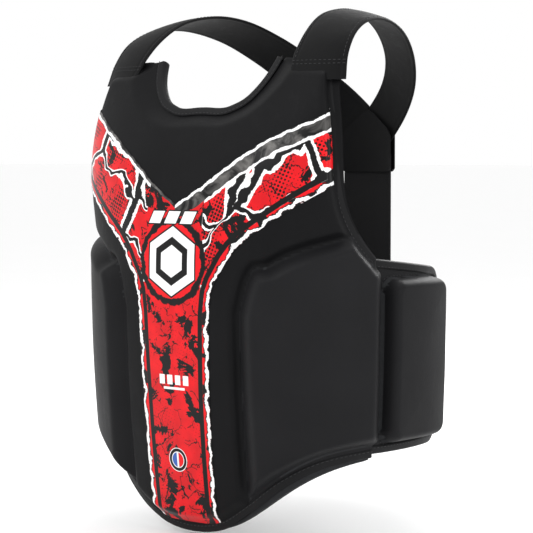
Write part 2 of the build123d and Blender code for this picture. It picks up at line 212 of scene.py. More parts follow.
def shell(name, outer, inner, uv=None, layers=None):
    # Two grids of the same size, one facing out and one facing in, joined along their border.
    rows, columns = outer.shape[:2]
    count = rows * columns
    index = np.arange(count).reshape(rows, columns)
    rim = np.concatenate([index[0, :-1], index[:-1, -1], index[-1, :0:-1], index[:0:-1, 0]])
    following = np.roll(rim, -1)
    wall = np.stack([rim, rim + count, following + count, following], -1)
    faces = np.concatenate([gridFaces(rows, columns), gridFaces(rows, columns, count, True), wall])
    uv = None if uv is None else np.concatenate([uv.reshape(-1, 2)] * 2)
    layers = {key: np.concatenate([value.ravel()] * 2) for key, value in (layers or {}).items()}
    made = makeMesh(name, np.stack([outer, inner]), faces.tolist(), uv, layers)
    # The rim is a crease, so that shading doesn't bend over the thin wall.
    edges = np.stack([rim, following], -1)
    rims = np.sort(np.concatenate([edges, edges + count]), axis=1)
    ends = np.zeros(len(made.data.edges) * 2, np.int32)
    made.data.edges.foreach_get("vertices", ends)
    ends = np.sort(ends.reshape(-1, 2), axis=1)
    onRim = np.isin(ends[:, 0] * 2 * count + ends[:, 1], rims[:, 0] * 2 * count + rims[:, 1])
    made.data.edges.foreach_set("use_edge_sharp", onRim)
    return made


def sweep(name, path, inward, normal, profile):
    # A closed outline of (distance in, height out) carried along a path, with end caps.
    offset = inward[:, None, :] * profile[None, :, :1], normal[:, None, :] * profile[None, :, 1:]
    rings = path[:, None, :] + offset[0] + offset[1]
    n, m = rings.shape[:2]
    points = np.concatenate([rings.reshape(-1, 3), [rings[0].mean(0), rings[-1].mean(0)]])
    ring, last = np.arange(m), (n - 1) * m
    following = (ring + 1) % m
    caps = np.concatenate([stacked(n * m, following, ring), stacked(n * m + 1, last + ring, last + following)])
    run, girth = lengthAlong(path), lengthAlong(profile)
    uv = np.concatenate([stacked(run[:, None], girth[None, :]).reshape(-1, 2), [[run[0], 0], [run[-1], 0]]])
    return makeMesh(name, points, gridFaces(n, m, wrap=True).tolist() + caps.tolist(), uv)


def evenly(path, spacing, *others):
    # The same path at even steps, with any other per-point arrays carried along.
    run = lengthAlong(path)
    at = np.linspace(0, run[-1], max(2, int(round(run[-1] / spacing)) + 1))
    pick = [np.stack([np.interp(at, run, a[:, k]) for k in range(3)], -1) for a in (path, *others)]
    return pick if others else pick[0]


threads = {
    "length": 3.3, "gap": 1.5, "thick": 0.42, "sink": 0.05, "ring": 6, "flat": 0.7,
    "place": [-0.5, -0.36, 0.0, 0.36, 0.5], "size": [0.25, 0.85, 1.0, 0.85, 0.25],
    "dip": [-0.35, -0.02, 0.06, -0.02, -0.35],
}


def stitches(name, path, normal):
    # Short rounded threads lying along a seam: each is a six-point ring at five places.
    path, normal = evenly(path, threads["length"] + threads["gap"], normal)
    forward = unit(np.gradient(path, axis=0))
    normal = unit(normal - forward * (normal * forward).sum(1, keepdims=True))
    place, size, dip = (np.array(threads[key]) for key in ("place", "size", "dip"))
    ring, size = threads["ring"], size * threads["thick"]
    turn = np.linspace(0, 2 * np.pi, ring, endpoint=False)
    along = np.repeat(place * threads["length"], ring)
    out = np.repeat(dip - threads["sink"], ring) + np.outer(size, np.cos(turn)).ravel() * threads["flat"]
    aside = np.outer(size, np.sin(turn)).ravel()
    ways = ((along, forward), (out, normal), (aside, np.cross(forward, normal)))
    points = path[:, None] + sum(amount[None, :, None] * way[:, None] for amount, way in ways)
    each = ring * len(place)
    shift = each * np.arange(len(path))[:, None, None]
    tubes = gridFaces(len(place), ring, wrap=True) + shift
    caps = np.stack([np.arange(ring)[::-1], np.arange(each - ring, each)]) + shift
    return makeMesh(name, points, tubes.reshape(-1, 4).tolist() + caps.reshape(-1, ring).tolist())


def finishPiece(obj, material, body, slotName, *nodes):
    # A piece that moves with one body and takes the place of the named nodes, if any.
    obj.data.materials.append(finishes[material])
    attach(obj, body)
    if nodes:
        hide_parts(*nodes)


def bendPiece(obj, material):
    # A soft piece between two bodies: it takes its finish and its place is baked into the mesh, with no body to
    # move it.
    obj.data.materials.append(finishes[material])
    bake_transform(obj)


def sewn(name, line, out, body, slotName):
    finishPiece(stitches(name, line, out), "thread", body, slotName)


print("helpers ready")


# Shader helpers. Signal lets plain arithmetic on a node's output add the Math nodes it needs.


class Signal:
    def __init__(self, tree, socket):
        self.tree, self.socket = tree, socket

    def maths(self, operation, other=0.0, swapped=False):
        pair = (other, self) if swapped else (self, other)
        return node(self.tree, "Math", {0: pair[0], 1: pair[1]}, operation=operation)

    def __add__(self, other):
        return self.maths("ADD", other)

    def __sub__(self, other):
        return self.maths("SUBTRACT", other)

    def __rsub__(self, other):
        return self.maths("SUBTRACT", other, True)

    def __mul__(self, other):
        return self.maths("MULTIPLY", other)

    def __lt__(self, other):
        return self.maths("LESS_THAN", other)

    def __gt__(self, other):
        return self.maths("GREATER_THAN", other)

    def __mod__(self, other):
        return self.maths("FLOORED_MODULO", other)

    def __abs__(self):
        return self.maths("ABSOLUTE")


def give(tree, socket, value):
    if isinstance(value, Signal):
        tree.links.new(value.socket, socket)
    else:
        socket.default_value = value


def put(tree, kind, values=None, **settings):
    made = tree.nodes.new("ShaderNode" + kind)
    for key, value in settings.items():
        setattr(made, key, value)
    for key, value in (values or {}).items():
        give(tree, made.inputs[key], value)
    return made


def node(tree, kind, values=None, output=0, **settings):
    return Signal(tree, put(tree, kind, values, **settings).outputs[output])


def ramp(value, low, high, start=0.0, end=1.0):
    values = {"Value": value, "From Min": low, "From Max": high, "To Min": start, "To Max": end}
    return node(value.tree, "MapRange", values)


def between(value, low, high, soft=0.15):
    # 1 where the value lies between low and high, with a soft edge.
    return ramp(value, low - soft, low + soft) * ramp(value, high - soft, high + soft, 1.0, 0.0)


def over(mask, below, above):
    mix = put(mask.tree, "Mix", {0: mask}, data_type="RGBA")
    for index, value in ((6, below), (7, above)):
        give(mask.tree, mix.inputs[index], value if isinstance(value, Signal) else (*value, 1))
    return Signal(mask.tree, mix.outputs[2])


def vector(tree, x=0.0, y=0.0, z=0.0):
    return node(tree, "CombineXYZ", {0: x, 1: y, 2: z})


def noiseAt(place, scale, detail=2.0, roughness=0.5, distortion=0.0):
    values = {"Vector": place, "Scale": scale, "Detail": detail,
              "Roughness": roughness, "Distortion": distortion}
    return node(place.tree, "TexNoise", values)


def cellsAt(place, scale, feature="F1"):
    return node(place.tree, "TexVoronoi", {"Vector": place, "Scale": scale}, "Distance", feature=feature)


def groupOf(name, number, outputs):
    # A group with a place and, if number is given, one more named value.
    tree = bpy.data.node_groups.new(name, "ShaderNodeTree")
    tree.interface.new_socket("Place", in_out="INPUT", socket_type="NodeSocketVector")
    if number:
        socket = tree.interface.new_socket(number[0], in_out="INPUT", socket_type="NodeSocketFloat")
        socket.default_value = number[1]
    for key in outputs:
        tree.interface.new_socket(key, in_out="OUTPUT", socket_type="NodeSocketFloat")
    given = tree.nodes.new("NodeGroupInput")
    signals = [Signal(tree, given.outputs[k]) for k in range(2 if number else 1)]
    return tree, signals, tree.nodes.new("NodeGroupOutput")


def makeGrain():
    # Leather grain: small rounded cells with fine creases and a slow change of tone.
    tree, (place, cells), result = groupOf("leatherGrain", ("Cells", 900.0), ("Height", "Tone"))
    height = noiseAt(place, cells * 0.45, 4.0) * 0.8 - cellsAt(place, cells, "SMOOTH_F1") * 0.7
    give(tree, result.inputs["Height"], height)
    give(tree, result.inputs["Tone"], noiseAt(place, 14.0, 3.0))
    return tree


def makeWeave():
    # Plain weave: two crossed sets of rounded yarns, each over and under the other in turn.
    tree, (place, pitch), result = groupOf("plainWeave", ("Pitch", 0.9), ("Height", "Tone"))
    parts = put(tree, "SeparateXYZ", {0: place})
    rate = pitch.maths("DIVIDE", math.pi / mm, True)
    u, v = Signal(tree, parts.outputs[0]) * rate, Signal(tree, parts.outputs[1]) * rate
    top = u.maths("COSINE") * v.maths("COSINE") > 0.0
    yarn = abs(u.maths("SINE")) * top + abs(v.maths("SINE")) * (1.0 - top)
    fuzz = noiseAt(place, 2600.0)
    give(tree, result.inputs["Height"], yarn + fuzz * 0.5)
    give(tree, result.inputs["Tone"], fuzz)
    return tree


def makeScuff():
    # Faint handling marks: broken streaks that change the gloss.
    tree, (place,), result = groupOf("scuff", None, ("Mask",))
    drawn = node(tree, "Mapping", {"Vector": place, "Scale": (1.0, 1.6, 0.35)})
    give(tree, result.inputs["Mask"], ramp(noiseAt(drawn, 120.0, 6.0, 0.65), 0.52, 0.72))
    return tree


grainGroup, weaveGroup, scuffGroup = makeGrain(), makeWeave(), makeScuff()


class Finish:
    # A new material with its Principled shader, and the place its patterns are measured from.
    def __init__(self, name, rough=0.5, specular=0.5, sheen=0.0, sheenRough=0.5):
        self.material = bpy.data.materials.new(name)
        self.material.use_nodes = True
        self.tree = self.material.node_tree
        self.shader = self.tree.nodes["Principled BSDF"]
        self.set("Roughness", rough)
        self.set("Specular IOR Level", specular)
        self.set("Sheen Weight", sheen)
        self.set("Sheen Roughness", sheenRough)
        place = self.tree.nodes.new("ShaderNodeTexCoord")
        self.onObject, self.onSurface = (Signal(self.tree, place.outputs[key]) for key in ("Object", "UV"))

    def set(self, key, value):
        give(self.tree, self.shader.inputs[key], value)

    def group(self, group, place, extra=None):
        made = self.tree.nodes.new("ShaderNodeGroup")
        made.node_tree = group
        for key, value in {"Place": place, **(extra or {})}.items():
            give(self.tree, made.inputs[key], value)
        return [Signal(self.tree, socket) for socket in made.outputs]

    def bump(self, height, distance, strength):
        values = {"Height": height, "Distance": distance, "Strength": strength}
        self.set("Normal", node(self.tree, "Bump", values))

    def attribute(self, name):
        return node(self.tree, "Attribute", None, "Fac", attribute_name=name)


def leather(name, dark, light, rough, cells=900.0, depth=0.00012, ink=None):
    # Coated leather: grain bump, a slow change of tone and slightly polished scuffs. ink is a
    # function that draws a white mark from the mesh's own px and pz.
    look = Finish(name, specular=0.10, sheen=0.015, sheenRough=0.45)
    height, tone = look.group(grainGroup, look.onObject, {"Cells": cells})
    scuff, = look.group(scuffGroup, look.onObject)
    colour = over(ramp(tone, 0.3, 0.7), dark, light)
    if ink:
        colour = over(ink(look.attribute("px"), look.attribute("pz")), colour, (0.78, 0.78, 0.78))
    look.set("Base Color", colour)
    look.set("Roughness", height * 0.10 - scuff * 0.08 + rough)
    look.bump(height, depth, 0.5)
    return look.material


def woven(name, dark, light, pitch, rough=0.85, depth=0.00025, sheen=0.02, useUv=True):
    look = Finish(name, specular=0.12, sheen=sheen, sheenRough=0.6)
    height, tone = look.group(weaveGroup, look.onSurface if useUv else look.onObject, {"Pitch": pitch})
    # The colour follows the yarns' height: painted shade in the hollows between the yarns, lighter on their
    # crowns.
    look.set("Base Color", over(height, dark, light))
    look.set("Roughness", tone * 0.15 + (rough - 0.08))
    look.bump(height, depth, 0.8)
    return look.material


def fuzzy(name, dark, light, scale, rough=0.95, depth=0.0006, sheen=0.02):
    # Brushed pile or open foam: many small tufts at two sizes.
    look = Finish(name, specular=0.05, sheen=sheen, sheenRough=0.7)
    tuft, cloud = cellsAt(look.onObject, scale), noiseAt(look.onObject, scale * 0.18, 5.0)
    look.set("Base Color", over(cloud, dark, light))
    look.set("Roughness", tuft * 0.1 + (rough - 0.1))
    look.bump(cloud * 1.2 - tuft, depth, 0.7)
    return look.material


def plainInk(name, dark, light, scale, detail, rough, specular=0.5):
    look = Finish(name, rough=rough, specular=specular)
    speckle = noiseAt(look.onObject, scale, detail)
    look.set("Base Color", over(speckle, dark, light))
    if name == "strapInk":
        look.set("Roughness", speckle * 0.2 + rough)
    return look.material


def slantedBars(x, z, centre, count, pitch, width, height, lean):
    # Parallel upright bars in a row, leaning sideways by lean for each unit of height.
    across = (x - centre[0]) - (z - centre[1]) * lean
    inRow = between(across, -count * pitch / 2, count * pitch / 2)
    cell = (across + (pitch / 2 if count % 2 else 0.0)) % pitch - pitch / 2
    tall = between(z, centre[1] - height / 2, centre[1] + height / 2)
    return between(cell, -width / 2, width / 2) * inRow * tall


def hexDistance(x, z, centre):
    # Distance measured in a flat-sided hexagon: the larger of the width and a turned width.
    across, up = abs(x - centre[0]), abs(z - centre[1])
    return across.maths("MAXIMUM", across * 0.5 + up * 0.866)


def roundDistance(x, z, centre=(0.0, 0.0)):
    across, up = x - centre[0], z - centre[1]
    return (across * across + up * up).maths("SQRT")


def yokeInk(x, z):
    ring = between(roundDistance(x, z, (-3.0, 68.0)), 9.0, 12.4, 0.25)
    ring = ring.maths("MAXIMUM", slantedBars(x, z, (10.0, 62.0), 2, 5.4, 3.2, 11.0, 0.35))
    return ring.maths("MAXIMUM", slantedBars(x, z, (2.0, 50.0), 1, 27.0, 26.0, 2.2, 0.0))


# Ink colours of the print; the grey one is not an ink but a painted gloss highlight on the arms' black band.
inks = {
    "red": (0.74, 0.004, 0.009), "darkRed": (0.30, 0.004, 0.007), "black": (0.0020, 0.0020, 0.0023),
    "white": (0.90, 0.90, 0.90), "paintedHighlightGrey": (0.150, 0.144, 0.138), "blue": (0.045, 0.12, 0.42),
}
art = {
    "emblem": (0.0, -49.0), "disc": 41.0, "bars": (-2.0, -6.0), "smallBars": (0.0, -166.0),
    "badge": (-1.0, -246.0),
    "dotPitch": 3.7, "lean": 0.62, "patchSize": 26.0, "fineCracks": 20.0, "armCracks": 46.0, "armStart": 37.0,
}


def makePrint():
    # Everything is drawn from distances in millimetres that the mesh carries: across the
    # print (px), up it (pz), in from its outer edge and in from the arms' upper edge.
    look = Finish("chestPrint", specular=0.16)
    look.set("Coat Weight", 0.14)
    look.set("Coat Roughness", 0.16)
    tree = look.tree
    x, z, outer, inner = (look.attribute(key) for key in ("px", "pz", "outerGap", "innerGap"))
    spot = vector(tree, x, z)

    def noise(*values):
        return noiseAt(spot, *values)

    def paint(mask, ink):
        nonlocal colour
        colour = over(mask, colour, inks[ink] if isinstance(ink, str) else ink)

    ragged = (noise(0.085, 3.0) - 0.5) * 13.0 + (noise(0.5, 3.0, 0.7) - 0.5) * 2.2
    armOnly = ramp(abs(x), art["armStart"], art["armStart"] + 1.0)
    leftSide = x > 0.0

    # Field: red with dot screens, black torn patches and fine cracks.
    colour = over(ramp(noise(0.05), 0.35, 0.65) * 0.35, inks["red"], inks["darkRed"])
    screen = node(tree, "VectorRotate", {"Vector": spot, "Angle": 0.35}, rotation_type="Z_AXIS")
    turned = put(tree, "SeparateXYZ", {0: screen})
    dotX, dotZ = (Signal(tree, turned.outputs[k]) % art["dotPitch"] for k in (0, 1))
    half = art["dotPitch"] / 2
    dotSize = ramp(noise(0.028, 1.0), 0.46, 0.62, 0.0, 1.45) * (armOnly * 0.75 + 0.25)
    paint(roundDistance(dotX, dotZ, (half, half)) < dotSize, "black")
    fromEmblem = roundDistance(x, z, art["emblem"])
    torn = noise(1 / art["patchSize"], 5.0, 0.62, 0.6) + (noise(0.6) - 0.5) * 0.07
    spared = ramp(fromEmblem, art["disc"], art["disc"] + 8, 0.2, 0.0)
    paint(torn > armOnly * 0.03 + 0.55 + spared, "black")
    shift = vector(tree, noise(0.07, 3.0) * 26.0, noise(0.06, 3.0, 0.5, 0.4) * 26.0)
    warped = node(tree, "VectorMath", {0: spot, 1: shift})
    cracks = cellsAt(warped, 1 / art["fineCracks"], "DISTANCE_TO_EDGE")
    paint((cracks < 0.018) * (noise(0.05, 1.0) > 0.48), "black")

    # Big cracks on the arms, a black line between two white ones, in cells drawn out along the arm.
    armSpot = vector(tree, abs(x), z)
    armTurn = node(tree, "VectorRotate", {"Vector": armSpot, "Angle": -art["lean"]}, rotation_type="Z_AXIS")
    armParts = put(tree, "SeparateXYZ", {0: armTurn})
    drift = (noise(0.03) - 0.5) * 46.0
    alongArm, acrossArm = (Signal(tree, armParts.outputs[k]) for k in (0, 1))
    drawn = vector(tree, alongArm * 0.52, acrossArm + drift, leftSide * 170.0)
    edgeGap = cellsAt(drawn, 1 / art["armCracks"], "DISTANCE_TO_EDGE") * art["armCracks"]
    edgeGap = edgeGap + (noise(0.4) - 0.5) * 1.2
    paint((edgeGap < 2.9) * armOnly, "white")
    paint((edgeGap < 1.5) * armOnly, "black")

    # The disc behind the emblem, ringed in black.
    discEdge = fromEmblem + (noise(0.12, 3.0) - 0.5) * 9.0
    paint(between(discEdge, art["disc"] - 4, art["disc"] + 2.5, 0.4), "black")
    paint(discEdge < art["disc"] - 4, "red")

    # The straight black stripe, the torn border and the pale line along the outer edge.
    paint(between(outer, 7.6, 13.2, 0.2), "black")
    border = outer + ragged
    paint(outer < 7.6, "red")
    paint((outer < 7.6) * (1.0 - (noise(0.045) > 0.43)), "black")
    paint(between(border, 3.8, 5.2, 0.3), "black")
    paint(between(border, 0.6, 4.0, 0.2), "white")
    paint(border < 0.6, "black")

    # The arms' upper edge: a black band between two pale torn lines on the left arm, with a painted gloss
    # highlight mixed into it in grey, and a thin dark band on the right with the same painted grey highlight.
    upper = inner + ragged * 0.5
    width = leftSide * 12.5 + 3.0
    # The grey mixed into the black band by noise is a painted gloss highlight.
    paint(upper < width, over(ramp(noise(0.045, 4.0, 0.6, 1.0), 0.38, 0.66), inks["black"], inks["paintedHighlightGrey"]))
    paint(between(upper - width, -0.4, 2.2, 0.2) * armOnly, "white")
    paint(between(upper, 0.5, 3.5, 0.2) * leftSide, "white")
    paint(upper < 0.6, "black")

    # Plain marks: a hexagon in a hexagon ring, bars, and a round badge of three fields.
    hexagon = hexDistance(x, z, art["emblem"])
    for low, high, ink in ((-1, 31.5, "black"), (21.0, 29.8, "white"), (-1, 14.0, "white")):
        paint(between(hexagon, low, high, 0.2), ink)
    for grow, ink in ((2.6, "black"), (0.0, "white")):
        paint(slantedBars(x, z, art["bars"], 3, 21.0, 15.5 + grow, 12.0 + grow, 0.45), ink)
    paint(slantedBars(x, z, art["smallBars"], 4, 10.5, 7.0, 9.5, 0.0), "white")
    paint(slantedBars(x, z, (art["smallBars"][0], art["smallBars"][1] - 8.5), 1, 30.0, 28.0, 2.4, 0.0), "white")
    fromBadge, badgeX = roundDistance(x, z, art["badge"]), art["badge"][0]
    for reach, ink in ((12.0, "white"), (11.3, "black"), (8.2, "white"), (7.4, "blue")):
        paint(between(fromBadge, -1, reach), ink)
    paint(between(fromBadge, -1, 7.4) * (x > badgeX + 1.2), "red")
    paint(between(fromBadge, -1, 7.4) * between(x, badgeX - 1.2, badgeX + 1.2), "white")

    look.set("Base Color", colour)
    height, _ = look.group(grainGroup, spot, {"Cells": 0.9})
    look.set("Roughness", height * 0.12 + 0.30)
    look.bump(height, 0.00006, 0.35)
    return look.material


blackOf = {  # dark and light tone of each black leather
    "chest": ((0.0036, 0.0036, 0.0041), (0.0052, 0.0052, 0.0059)),
    "pad": ((0.0085, 0.0085, 0.0094), (0.0110, 0.0110, 0.0121)),
    "tape": ((0.0078, 0.0078, 0.0084), (0.0118, 0.0118, 0.0126)),
    "strap": ((0.0125, 0.0125, 0.0134), (0.0170, 0.0170, 0.0180)),
    "shoulder": ((0.0030, 0.0030, 0.0033), (0.0048, 0.0048, 0.0052)),
    "yoke": ((0.0036, 0.0036, 0.0040), (0.0056, 0.0056, 0.0060)),
}
finishes = {
    "chestLeather": leather("chestLeather", *blackOf["chest"], 0.54),
    "padLeather": leather("padLeather", *blackOf["pad"], 0.50),
    "tapeLeather": leather("tapeLeather", *blackOf["tape"], 0.46, 1300.0, 0.00008),
    "strapLeather": leather("strapLeather", *blackOf["strap"], 0.50, 1100.0),
    "shoulderLeather": leather("shoulderLeather", *blackOf["shoulder"], 0.58, 1300.0),
    "yokeLeather": leather("yokeLeather", *blackOf["yoke"], 0.55, 1300.0, ink=yokeInk),
    "lining": woven("liningCloth", (0.0042, 0.0042, 0.0046), (0.0085, 0.0085, 0.0092), 0.55, 0.9, 0.00012, 0.0),
    "webbing": woven("webbing", (0.0035, 0.0035, 0.0038), (0.0100, 0.0100, 0.0106), 1.3),
    "loopPile": fuzzy("loopPile", (0.0022, 0.0022, 0.0024), (0.0062, 0.0062, 0.0066), 1500.0),
    "hookTape": fuzzy("hookTape", (0.0030, 0.0030, 0.0033), (0.0105, 0.0105, 0.0110), 800.0, 0.6, 0.0005, 0.0),
    "foam": fuzzy("closedFoam", (0.0180, 0.0185, 0.0200), (0.0300, 0.0310, 0.0330), 900.0, 0.9, 0.0003),
    "thread": woven("thread", (0.0160, 0.0160, 0.0170), (0.0420, 0.0420, 0.0440), 0.35, 0.6, 0.0001, 0.0,
                    False),
    "label": woven("labelCloth", (0.62, 0.62, 0.60), (0.80, 0.80, 0.78), 0.4, 0.8, 0.0001),
    "strapInk": plainInk("strapInk", (0.80, 0.80, 0.80), (0.92, 0.92, 0.92), 900.0, 4.0, 0.35, 0.4),
    "chestPrint": makePrint(),
}
print("materials ready")

# The front panel.


def nearest(points, line):
    # Distance from each point to the nearest point of a closely stepped line.
    flat, best, step = points.reshape(-1, 3), [], 6000
    for start in range(0, len(flat), step):
        gap = flat[start:start + step, None, :] - line[None, :, :]
        best.append(np.sqrt((gap**2).sum(-1).min(1)))
    return np.concatenate(best).reshape(points.shape[:-1])


def topZ(x):
    # The neckline, then the shoulder's gently falling top.
    x = np.abs(x)
    return np.where(x < 98, neckZ(x), 150 - 3.5 * (x - 98) / 64)


def edgeLevel(u, limit, low, high):
    # The level where a column meets an outline given as a height over x, by halving.
    low, high = np.full(u.shape, float(low)), np.full(u.shape, float(high))
    for _ in range(26):
        level = (low + high) / 2
        below = level < limit(formPoint(u * armAngle(level), level, 18.0)[..., 0])
        low, high = np.where(below, level, low), np.where(below, high, level)
    return (low + high) / 2


def edgeLine(turn, height):
    return evenly(formPoint(turn, height, 8.0), 1.2)


columns = np.linspace(-1, 1, panel["columns"])
topLevel = edgeLevel(columns, topZ, 85, 155)
hemLevel = edgeLevel(columns, hemZ, -330, -200)
sideLevel = np.linspace(148, -236, 400)
sideEdge = formPoint(armAngle(sideLevel), sideLevel, 8.0)
topEdge, hemEdge = (edgeLine(columns * armAngle(level), level) for level in (topLevel, hemLevel))
armEdge = evenly(sideEdge[sideLevel > -46], 1.2)
grooveEdge = evenly(sideEdge[sideLevel < -44], 1.2)
curveX = np.linspace(ribs["bendX"][0], 178, 120)
ribLineX = np.concatenate([np.full(180, ribs["edgeX"]), curveX])
curveZ = curveThrough(ribs["bendX"], ribs["bendZs"], curveX)
ribLineZ = np.concatenate([np.linspace(-330, ribs["bendZ"], 180), curveZ])
ribLine = evenly(formPoint(angleAt(ribLineX, ribLineZ), ribLineZ, 12.0), 1.2)


def isRib(x, z):
    side = np.abs(x)
    bend = curveThrough(ribs["bendX"], ribs["bendZs"], side)
    return np.where(z < ribs["bendZ"], side > ribs["edgeX"], z < bend)


def riseAt(x, z):
    # The cover's height over the form: a falling rim at the edges, a raised pad on each side of
    # a flat groove, and a thin flange below the pads along the hem.
    points = formPoint(angleAt(x, z), z, 12.0)
    points[..., 0] = np.abs(points[..., 0])
    toArm, toTop = nearest(points, armEdge), nearest(points, topEdge[topEdge[:, 0] > -3])
    toHem, toSide = nearest(points, hemEdge[hemEdge[:, 0] > -3]), nearest(points, grooveEdge)
    pastGroove = nearest(points, ribLine) - ribs["groove"] / 2

    def climb(low, high, gap, length):
        return low + (high - low) * np.sin(np.clip(gap / length, 0, 1) * np.pi / 2)

    edge, groove, full = panel["edgeRise"], panel["grooveRise"], panel["ribRise"]
    toRim = np.minimum(np.minimum(toArm, toTop), toHem)
    chest = edge + (panel["chestRise"] - edge) * smooth((toRim - 7) / 13)
    chest = np.minimum(chest, climb(groove, panel["chestRise"], pastGroove, ribs["chestRamp"]))
    chest = np.minimum(chest, climb(6.0, 36.0, toSide, 13))
    pad = climb(groove, full, pastGroove, ribs["padRamp"])
    pad = np.minimum(pad, climb(edge, full, toHem - ribs["hemInset"], 12))
    pad = np.minimum(pad, climb(6.0, full, toSide, 13))
    pad = np.minimum(pad, edge + (full - edge) * smooth((toArm - 7) / 15))
    return np.where(isRib(x, z), pad, chest)


def soften(grid, times=2):
    # Each value becomes a mean with its four neighbours, so that creases don't follow the grid's steps.
    for _ in range(times):
        wide = np.pad(grid, 1, mode="edge")
        grid = (2 * grid + wide[:-2, 1:-1] + wide[2:, 1:-1] + wide[1:-1, :-2] + wide[1:-1, 2:]) / 6
    return grid


def softNoise(a, b, scale, seed):
    # A few crossed waves stand for the slow unevenness of foam under leather.
    draw = np.random.default_rng(seed)
    total = np.zeros(np.broadcast(a, b).shape)
    for _ in range(7):
        turn, phase = draw.uniform(0, 2 * np.pi, 2)
        rate = draw.uniform(0.7, 1.5) * 2 * np.pi / scale
        total = total + np.sin(rate * (a * np.cos(turn) + b * np.sin(turn)) + phase)
    return total / 7


# Rows run from the hem to one straight row at the waist of the arms, then up to the neckline.
v = np.linspace(0, 1, panel["rows"])[:, None]
straight, share = 40.0, 0.77
level = np.where(v < share, hemLevel + (straight - hemLevel) * v / share,
                 straight + (topLevel - straight) * (v - share) / (1 - share))
angle = columns * armAngle(level)
nominalX = formPoint(angle, level, 18.0)[..., 0]
rise = soften(riseAt(nominalX, level))
rise = rise + 0.35 * softNoise(nominalX, level, 70, 3) * smooth((rise - 9) / 6)
outerSkin = formPoint(angle, level, rise)
steps = np.linalg.norm(np.diff(outerSkin, axis=1), axis=2)
arc = np.cumsum(np.pad(steps, ((0, 0), (1, 0))), axis=1)
arc = arc - arc[:, arc.shape[1] // 2][:, None]
uvFront = stacked(arc, level)
frontCover = shell("frontCover", outerSkin, formPoint(angle, level, rise - 1.2), uvFront)
finishPiece(frontCover, "chestLeather", "front", "leather", "chest_cover", "left_rib_cover", "right_rib_cover")

# The rib pads are covered in a slightly lighter leather: faces past the rib line take it.
frontCover.data.materials.append(finishes["padLeather"])
inRib = isRib(nominalX, level)
perFace = (inRib[:-1, :-1] & inRib[1:, 1:]).ravel()
wallFaces = len(frontCover.data.polygons) - 2 * len(perFace)
choice = np.concatenate([perFace, perFace, np.zeros(wallFaces, bool)]).astype(np.int32)
frontCover.data.polygons.foreach_set("material_index", choice)

coarse, half = (slice(None, None, 3),) * 2, (slice(None, None, 2),) * 2
foamTop = formPoint(angle, level, np.maximum(rise - 1.35, 7.4))
frontFoam = shell("frontFoam", foamTop[coarse], formPoint(angle, level, 7.1)[coarse])
finishPiece(frontFoam, "foam", "front", "foam", "chest_foam", "left_rib_foam", "right_rib_foam")

# The lining is cut in three panels, with two upright seams and a soft quilted face.
seamGap = np.abs(np.abs(nominalX) - 48.0)
inside = np.clip(1.1 * np.exp(-((seamGap / 1.5) ** 2)) + 0.25 * softNoise(arc, level, 55, 9), -0.2, 1.2)
frontLining = shell("frontLining", formPoint(angle, level, 1.45)[half],
                    formPoint(angle, level, inside)[half], uvFront[half])
finishPiece(frontLining, "lining", "front", "lining", "front_lining")
print("front panel ready")

# Edge tapes.
tape = {"back": -0.85, "thick": 0.75, "stitchIn": 1.9}


def tapeProfile(width, front):
    # A folded tape: round outside, hollow where the panel's edge lies, lips at both faces.
    turn, back, core = np.linspace(0, np.pi, 9), tape["back"], front - 1.0
    middle, tall = (front + back) / 2, (front - back) / 2
    nose = np.stack([1.4 - 2.4 * np.sin(turn), middle + tall * np.cos(turn)], -1)
    upper = [[width, front - 0.55], [width - 0.3, front - 0.05], [width - 2.2, front + 0.05]]
    lower = [[width - 2.2, back - 0.05], [width - 0.3, back + 0.05], [width, back + 0.5]]
    low, high, lip = back + tape["thick"], front - tape["thick"], width - 0.4
    near, far = middle - core / 2 + 0.8, middle + core / 2 - 0.8
    hollow = np.array([[lip, low], [1.5, low], [0.5, near], [0.5, far], [1.5, high], [lip, high]])
    return np.concatenate([upper, nose, lower, hollow])


def edgeFrame(turn, height, toward, spacing=1.5):
    # Path on the form, its outward normal, and the in-surface direction into the panel.
    path, normal = evenly(formPoint(turn, height, 0.0), spacing, formNormal(turn, height, 4.0))
    forward = np.gradient(path, axis=0)
    inward = unit(np.cross(normal, forward))
    if np.einsum("ij,ij->", inward, toward - path) < 0:
        inward = -inward
    normal = unit(np.cross(forward, inward))
    if np.einsum("ij,ij->", normal, path * [1, 1, 0]) < 0:
        normal = -normal
    return path, normal, inward


def bindEdge(name, turn, height, toward, body, replaced, front=9.0, width=8.2):
    path, normal, inward = edgeFrame(turn, height, toward)
    band = sweep(name, path, inward, normal, tapeProfile(width, front))
    finishPiece(band, "tapeLeather", body, "tape", replaced)
    seam = path + inward * (width - tape["stitchIn"])
    sewn(name + "FrontStitch", seam + normal * (front + 0.12), normal, body, "tape")
    sewn(name + "BackStitch", seam - normal * 0.95, -normal, body, "tape")


centre = np.array([0.0, -110.0, -60.0])
fineColumns = np.linspace(-1, 1, 900)
fineTop = edgeLevel(fineColumns, topZ, 85, 155)
fineHem = edgeLevel(fineColumns, hemZ, -330, -200)
topTurn = fineColumns * armAngle(fineTop)
neckPart = (np.abs(formPoint(topTurn, fineTop, 18.0)[:, 0]) < 98) & (fineTop < 147.5)
bindEdge("neckBinding", topTurn[neckPart], fineTop[neckPart], centre, "front", "neck_binding")
bindEdge("hemBinding", fineColumns * armAngle(fineHem), fineHem, centre, "front", "hem_binding")
armHeight = np.linspace(148.5, -45, 500)
for sign, label in sides:
    bindEdge(label + "ArmholeBinding", sign * armAngle(armHeight), armHeight, centre, "front",
             label + "_armhole_binding")
print("tapes ready")

# The print: a column with two arms reaching to the armholes.
artwork = {
    "rows": (230, 70, 120), "columns": 44, "lift": 0.6, "crotch": 7.0, "overlap": -0.4, "reachX": 170.0,
    "hem": -309.5, "armGap": 3.6, "top": {"left": 101.0, "right": 113.0},
}


def polyPath(points, count):
    points = np.asarray(points, float)
    run = lengthAlong(points)
    at = np.linspace(0, run[-1], count)
    return np.stack([np.interp(at, run, points[:, k]) for k in range(points.shape[1])], -1)


